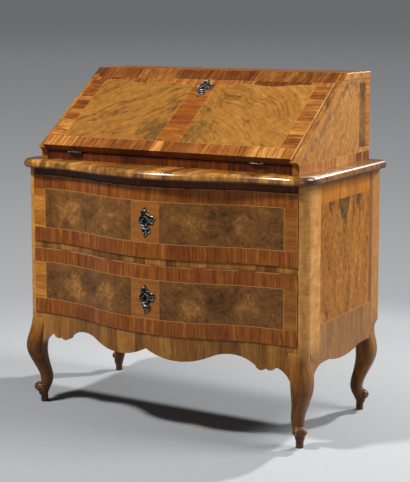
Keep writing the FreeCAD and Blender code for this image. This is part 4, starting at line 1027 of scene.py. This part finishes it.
def toe_volutes(name, foot, outward):
    """Two ridges that run off the leg and wind up on the ends of the scroll."""
    middle = Vector((*foot, TOE_HEIGHT))
    axis = Vector((-outward.y, outward.x, 0.0))
    parts = []
    for end in (-1.0, 1.0):
        path, radii = [], []
        for i in range(VOLUTE_STEPS + 1):
            t = i / VOLUTE_STEPS
            angle = math.radians(VOLUTE_START - VOLUTE_TURN * t)
            e = VOLUTE_INNER + VOLUTE_SPREAD * t ** 0.8
            r = TOE_RADIUS * math.sqrt(max(0.0, 1.0 - (e / TOE_HALF) ** 2))
            way = outward * math.cos(angle) + Vector((0, 0, math.sin(angle)))
            path.append(middle + axis * (end * e) + way * r)
            radii.append(VOLUTE_THICK - VOLUTE_TAPER * t)
        parts.append((0, tube(path, radii)))
        eye = [middle + axis * (end * e) for e, _ in EYE]
        parts.append((0, tube(eye, [r for _, r in EYE], 10)))
    mesh_piece(name, "case", parts, [SURFACES["toe_wood"]])


for end, foot_y, way, turn, reach in TOES:
    angle = math.radians(turn)
    for hand, sign in (("left", -1.0), ("right", 1.0)):
        outward = Vector((sign * math.sin(angle), way * math.cos(angle), 0.0))
        foot = (sign * FOOT_X + outward.x * reach, foot_y + outward.y * reach)
        toe_volutes("%s_%s_toe_volutes" % (end, hand), foot, outward)


# Floor, light and camera

FLOOR_RINGS = [1.0, 2.0, 4.0, 8.0, 16.0, 40.0, 120.0, 400.0]
FLOOR_TURNS = 48
FLOOR_X, FLOOR_Y = 0.2, 0.35
FLOOR_FADE = (1.1, 2.2)
FLOOR_FAR = [
    (0.25, rgb(184, 185, 187)), (0.40, rgb(168, 169, 171)), (0.52, rgb(150, 151, 153)),
    (0.66, rgb(132, 133, 135)), (0.85, rgb(117, 118, 120)), (1.0, rgb(107, 108, 110)),
]
FLOOR_NEAR = [(0.3, rgb(166, 168, 170)), (0.7, rgb(170, 172, 174))]
BACKDROP = rgb(106, 107, 109)
AMBIENT = 0.014


def floor_disc():
    """A wide pale floor, finer near the bureau."""
    turns = FLOOR_TURNS
    points = [(0.0, 0.0, 0.0)]
    faces = []
    for radius in FLOOR_RINGS:
        for i in range(turns):
            angle = 2 * math.pi * i / turns
            points.append((radius * math.cos(angle), radius * math.sin(angle), 0.0))
    for i in range(turns):
        faces.append((0, 1 + i, 1 + (i + 1) % turns))
    for ring in range(1, len(FLOOR_RINGS)):
        a, b = 1 + (ring - 1) * turns, 1 + ring * turns
        for i in range(turns):
            j = (i + 1) % turns
            faces.append((a + i, b + i, b + j, a + j))
    mesh = bpy.data.meshes.new("studio_floor")
    mesh.from_pydata(points, [], faces)
    piece = bpy.data.objects.new("studio_floor", mesh)
    scene.collection.objects.link(piece)
    return piece


def seen(g):
    """1 for what the camera sees, straight or in a reflection."""
    path = g.node("LightPath")
    straight = Wire(g, path.outputs["Is Camera Ray"])
    mirrored = Wire(g, path.outputs["Is Glossy Ray"])
    through = Wire(g, path.outputs["Is Transmission Ray"])
    return g.lowest(straight + mirrored + through, 1.0)


def floor_surface():
    """Takes shadows near the bureau, and fades to a plain grey backdrop far from it."""
    made = bpy.data.materials.new("studio_floor")
    made.use_nodes = True
    g = Graph(made.node_tree)
    x, y, z = g.place()
    reach = g.math("SQRT", (x + FLOOR_X) * (x + FLOOR_X) + (y + FLOOR_Y) * (y + FLOOR_Y))
    far = g.math("LOGARITHM", g.highest(reach, 0.5), 10.0)
    tone = g.ramp(far * 0.4 + 0.2, FLOOR_FAR)
    speck = g.noise(g.vector(x, y, z), 60.0, 3.0)
    near_tone = g.ramp(speck, FLOOR_NEAR)
    near = g.node("BsdfPrincipled", {
        "Base Color": near_tone, "Roughness": speck * 0.1 + 0.85, "Specular IOR Level": 0.0,
    })
    glow = g.node("Emission", {"Color": tone, "Strength": 1.0})
    amount = g.rise(reach, *FLOOR_FADE) * seen(g)
    both = g.node("MixShader", {0: amount})
    g.tree.links.new(near.outputs[0], both.inputs[1])
    g.tree.links.new(glow.outputs[0], both.inputs[2])
    g.tree.links.new(both.outputs[0], g.node("OutputMaterial").inputs[0])
    return made


floor_disc().data.materials.append(floor_surface())

world = bpy.data.worlds.new("studio")
world.use_nodes = True
scene.world = world
sky = Graph(world.node_tree)
shown = sky.node("Background", {"Color": BACKDROP, "Strength": 1.0})
lit = sky.node("Background", {"Color": (1.0, 1.0, 1.0, 1.0), "Strength": AMBIENT})
both = sky.node("MixShader", {0: seen(sky)})
sky.tree.links.new(lit.outputs[0], both.inputs[1])
sky.tree.links.new(shown.outputs[0], both.inputs[2])
sky.tree.links.new(both.outputs[0], sky.node("OutputWorld").inputs[0])


def lamp(name, spot, target, size, power):
    """A soft lamp aimed at a point."""
    data = bpy.data.lights.new(name, "AREA")
    data.shape = "RECTANGLE"
    data.size, data.size_y = size
    data.energy = power
    piece = bpy.data.objects.new(name, data)
    piece.location = spot
    piece.rotation_euler = (Vector(target) - Vector(spot)).to_track_quat("-Z", "Y").to_euler()
    scene.collection.objects.link(piece)


# Each lamp: name, place, what it is aimed at, size in metres and power in watts
LAMPS = [
    ("front_lamp", (-1.1, -1.8, 3.2), (0.0, -0.2, 0.4), (0.42, 0.36), 118.0),
    ("back_lamp", (1.3, 2.7, 2.35), (0.1, 0.0, 0.3), (0.2, 0.2), 150.0),
    ("side_lamp", (2.7, 0.9, 3.3), (0.3, 0.1, 0.5), (1.5, 1.5), 105.0),
    ("fill_lamp", (2.4, -2.4, 1.5), (0.4, -0.1, 0.5), (1.4, 1.4), 9.0),
]
for row in LAMPS:
    lamp(*row)

# Camera of the photograph: place in metres, angles in radians, focus and shift in pixels, sensor in mm
CAMERA_SPOT = Vector((1.98252, -3.33504, 1.19043))
CAMERA_YAW, CAMERA_PITCH = 0.5279, 0.1171
FOCUS, LONG_SIDE, SHIFT = 1308.1, 482.0, 72.0
SENSOR, FARTHEST = 36.0, 1000.0
camera_data = bpy.data.cameras.new("photo_camera")
camera_data.sensor_width = SENSOR
camera_data.lens = FOCUS / LONG_SIDE * SENSOR
camera_data.shift_y = -SHIFT / LONG_SIDE
camera_data.clip_end = FARTHEST
camera = bpy.data.objects.new("photo_camera", camera_data)
camera.location = CAMERA_SPOT
camera.rotation_euler = (math.pi / 2 - CAMERA_PITCH, 0.0, CAMERA_YAW)
scene.collection.objects.link(camera)
scene.camera = camera

scene.view_settings.view_transform = "Standard"
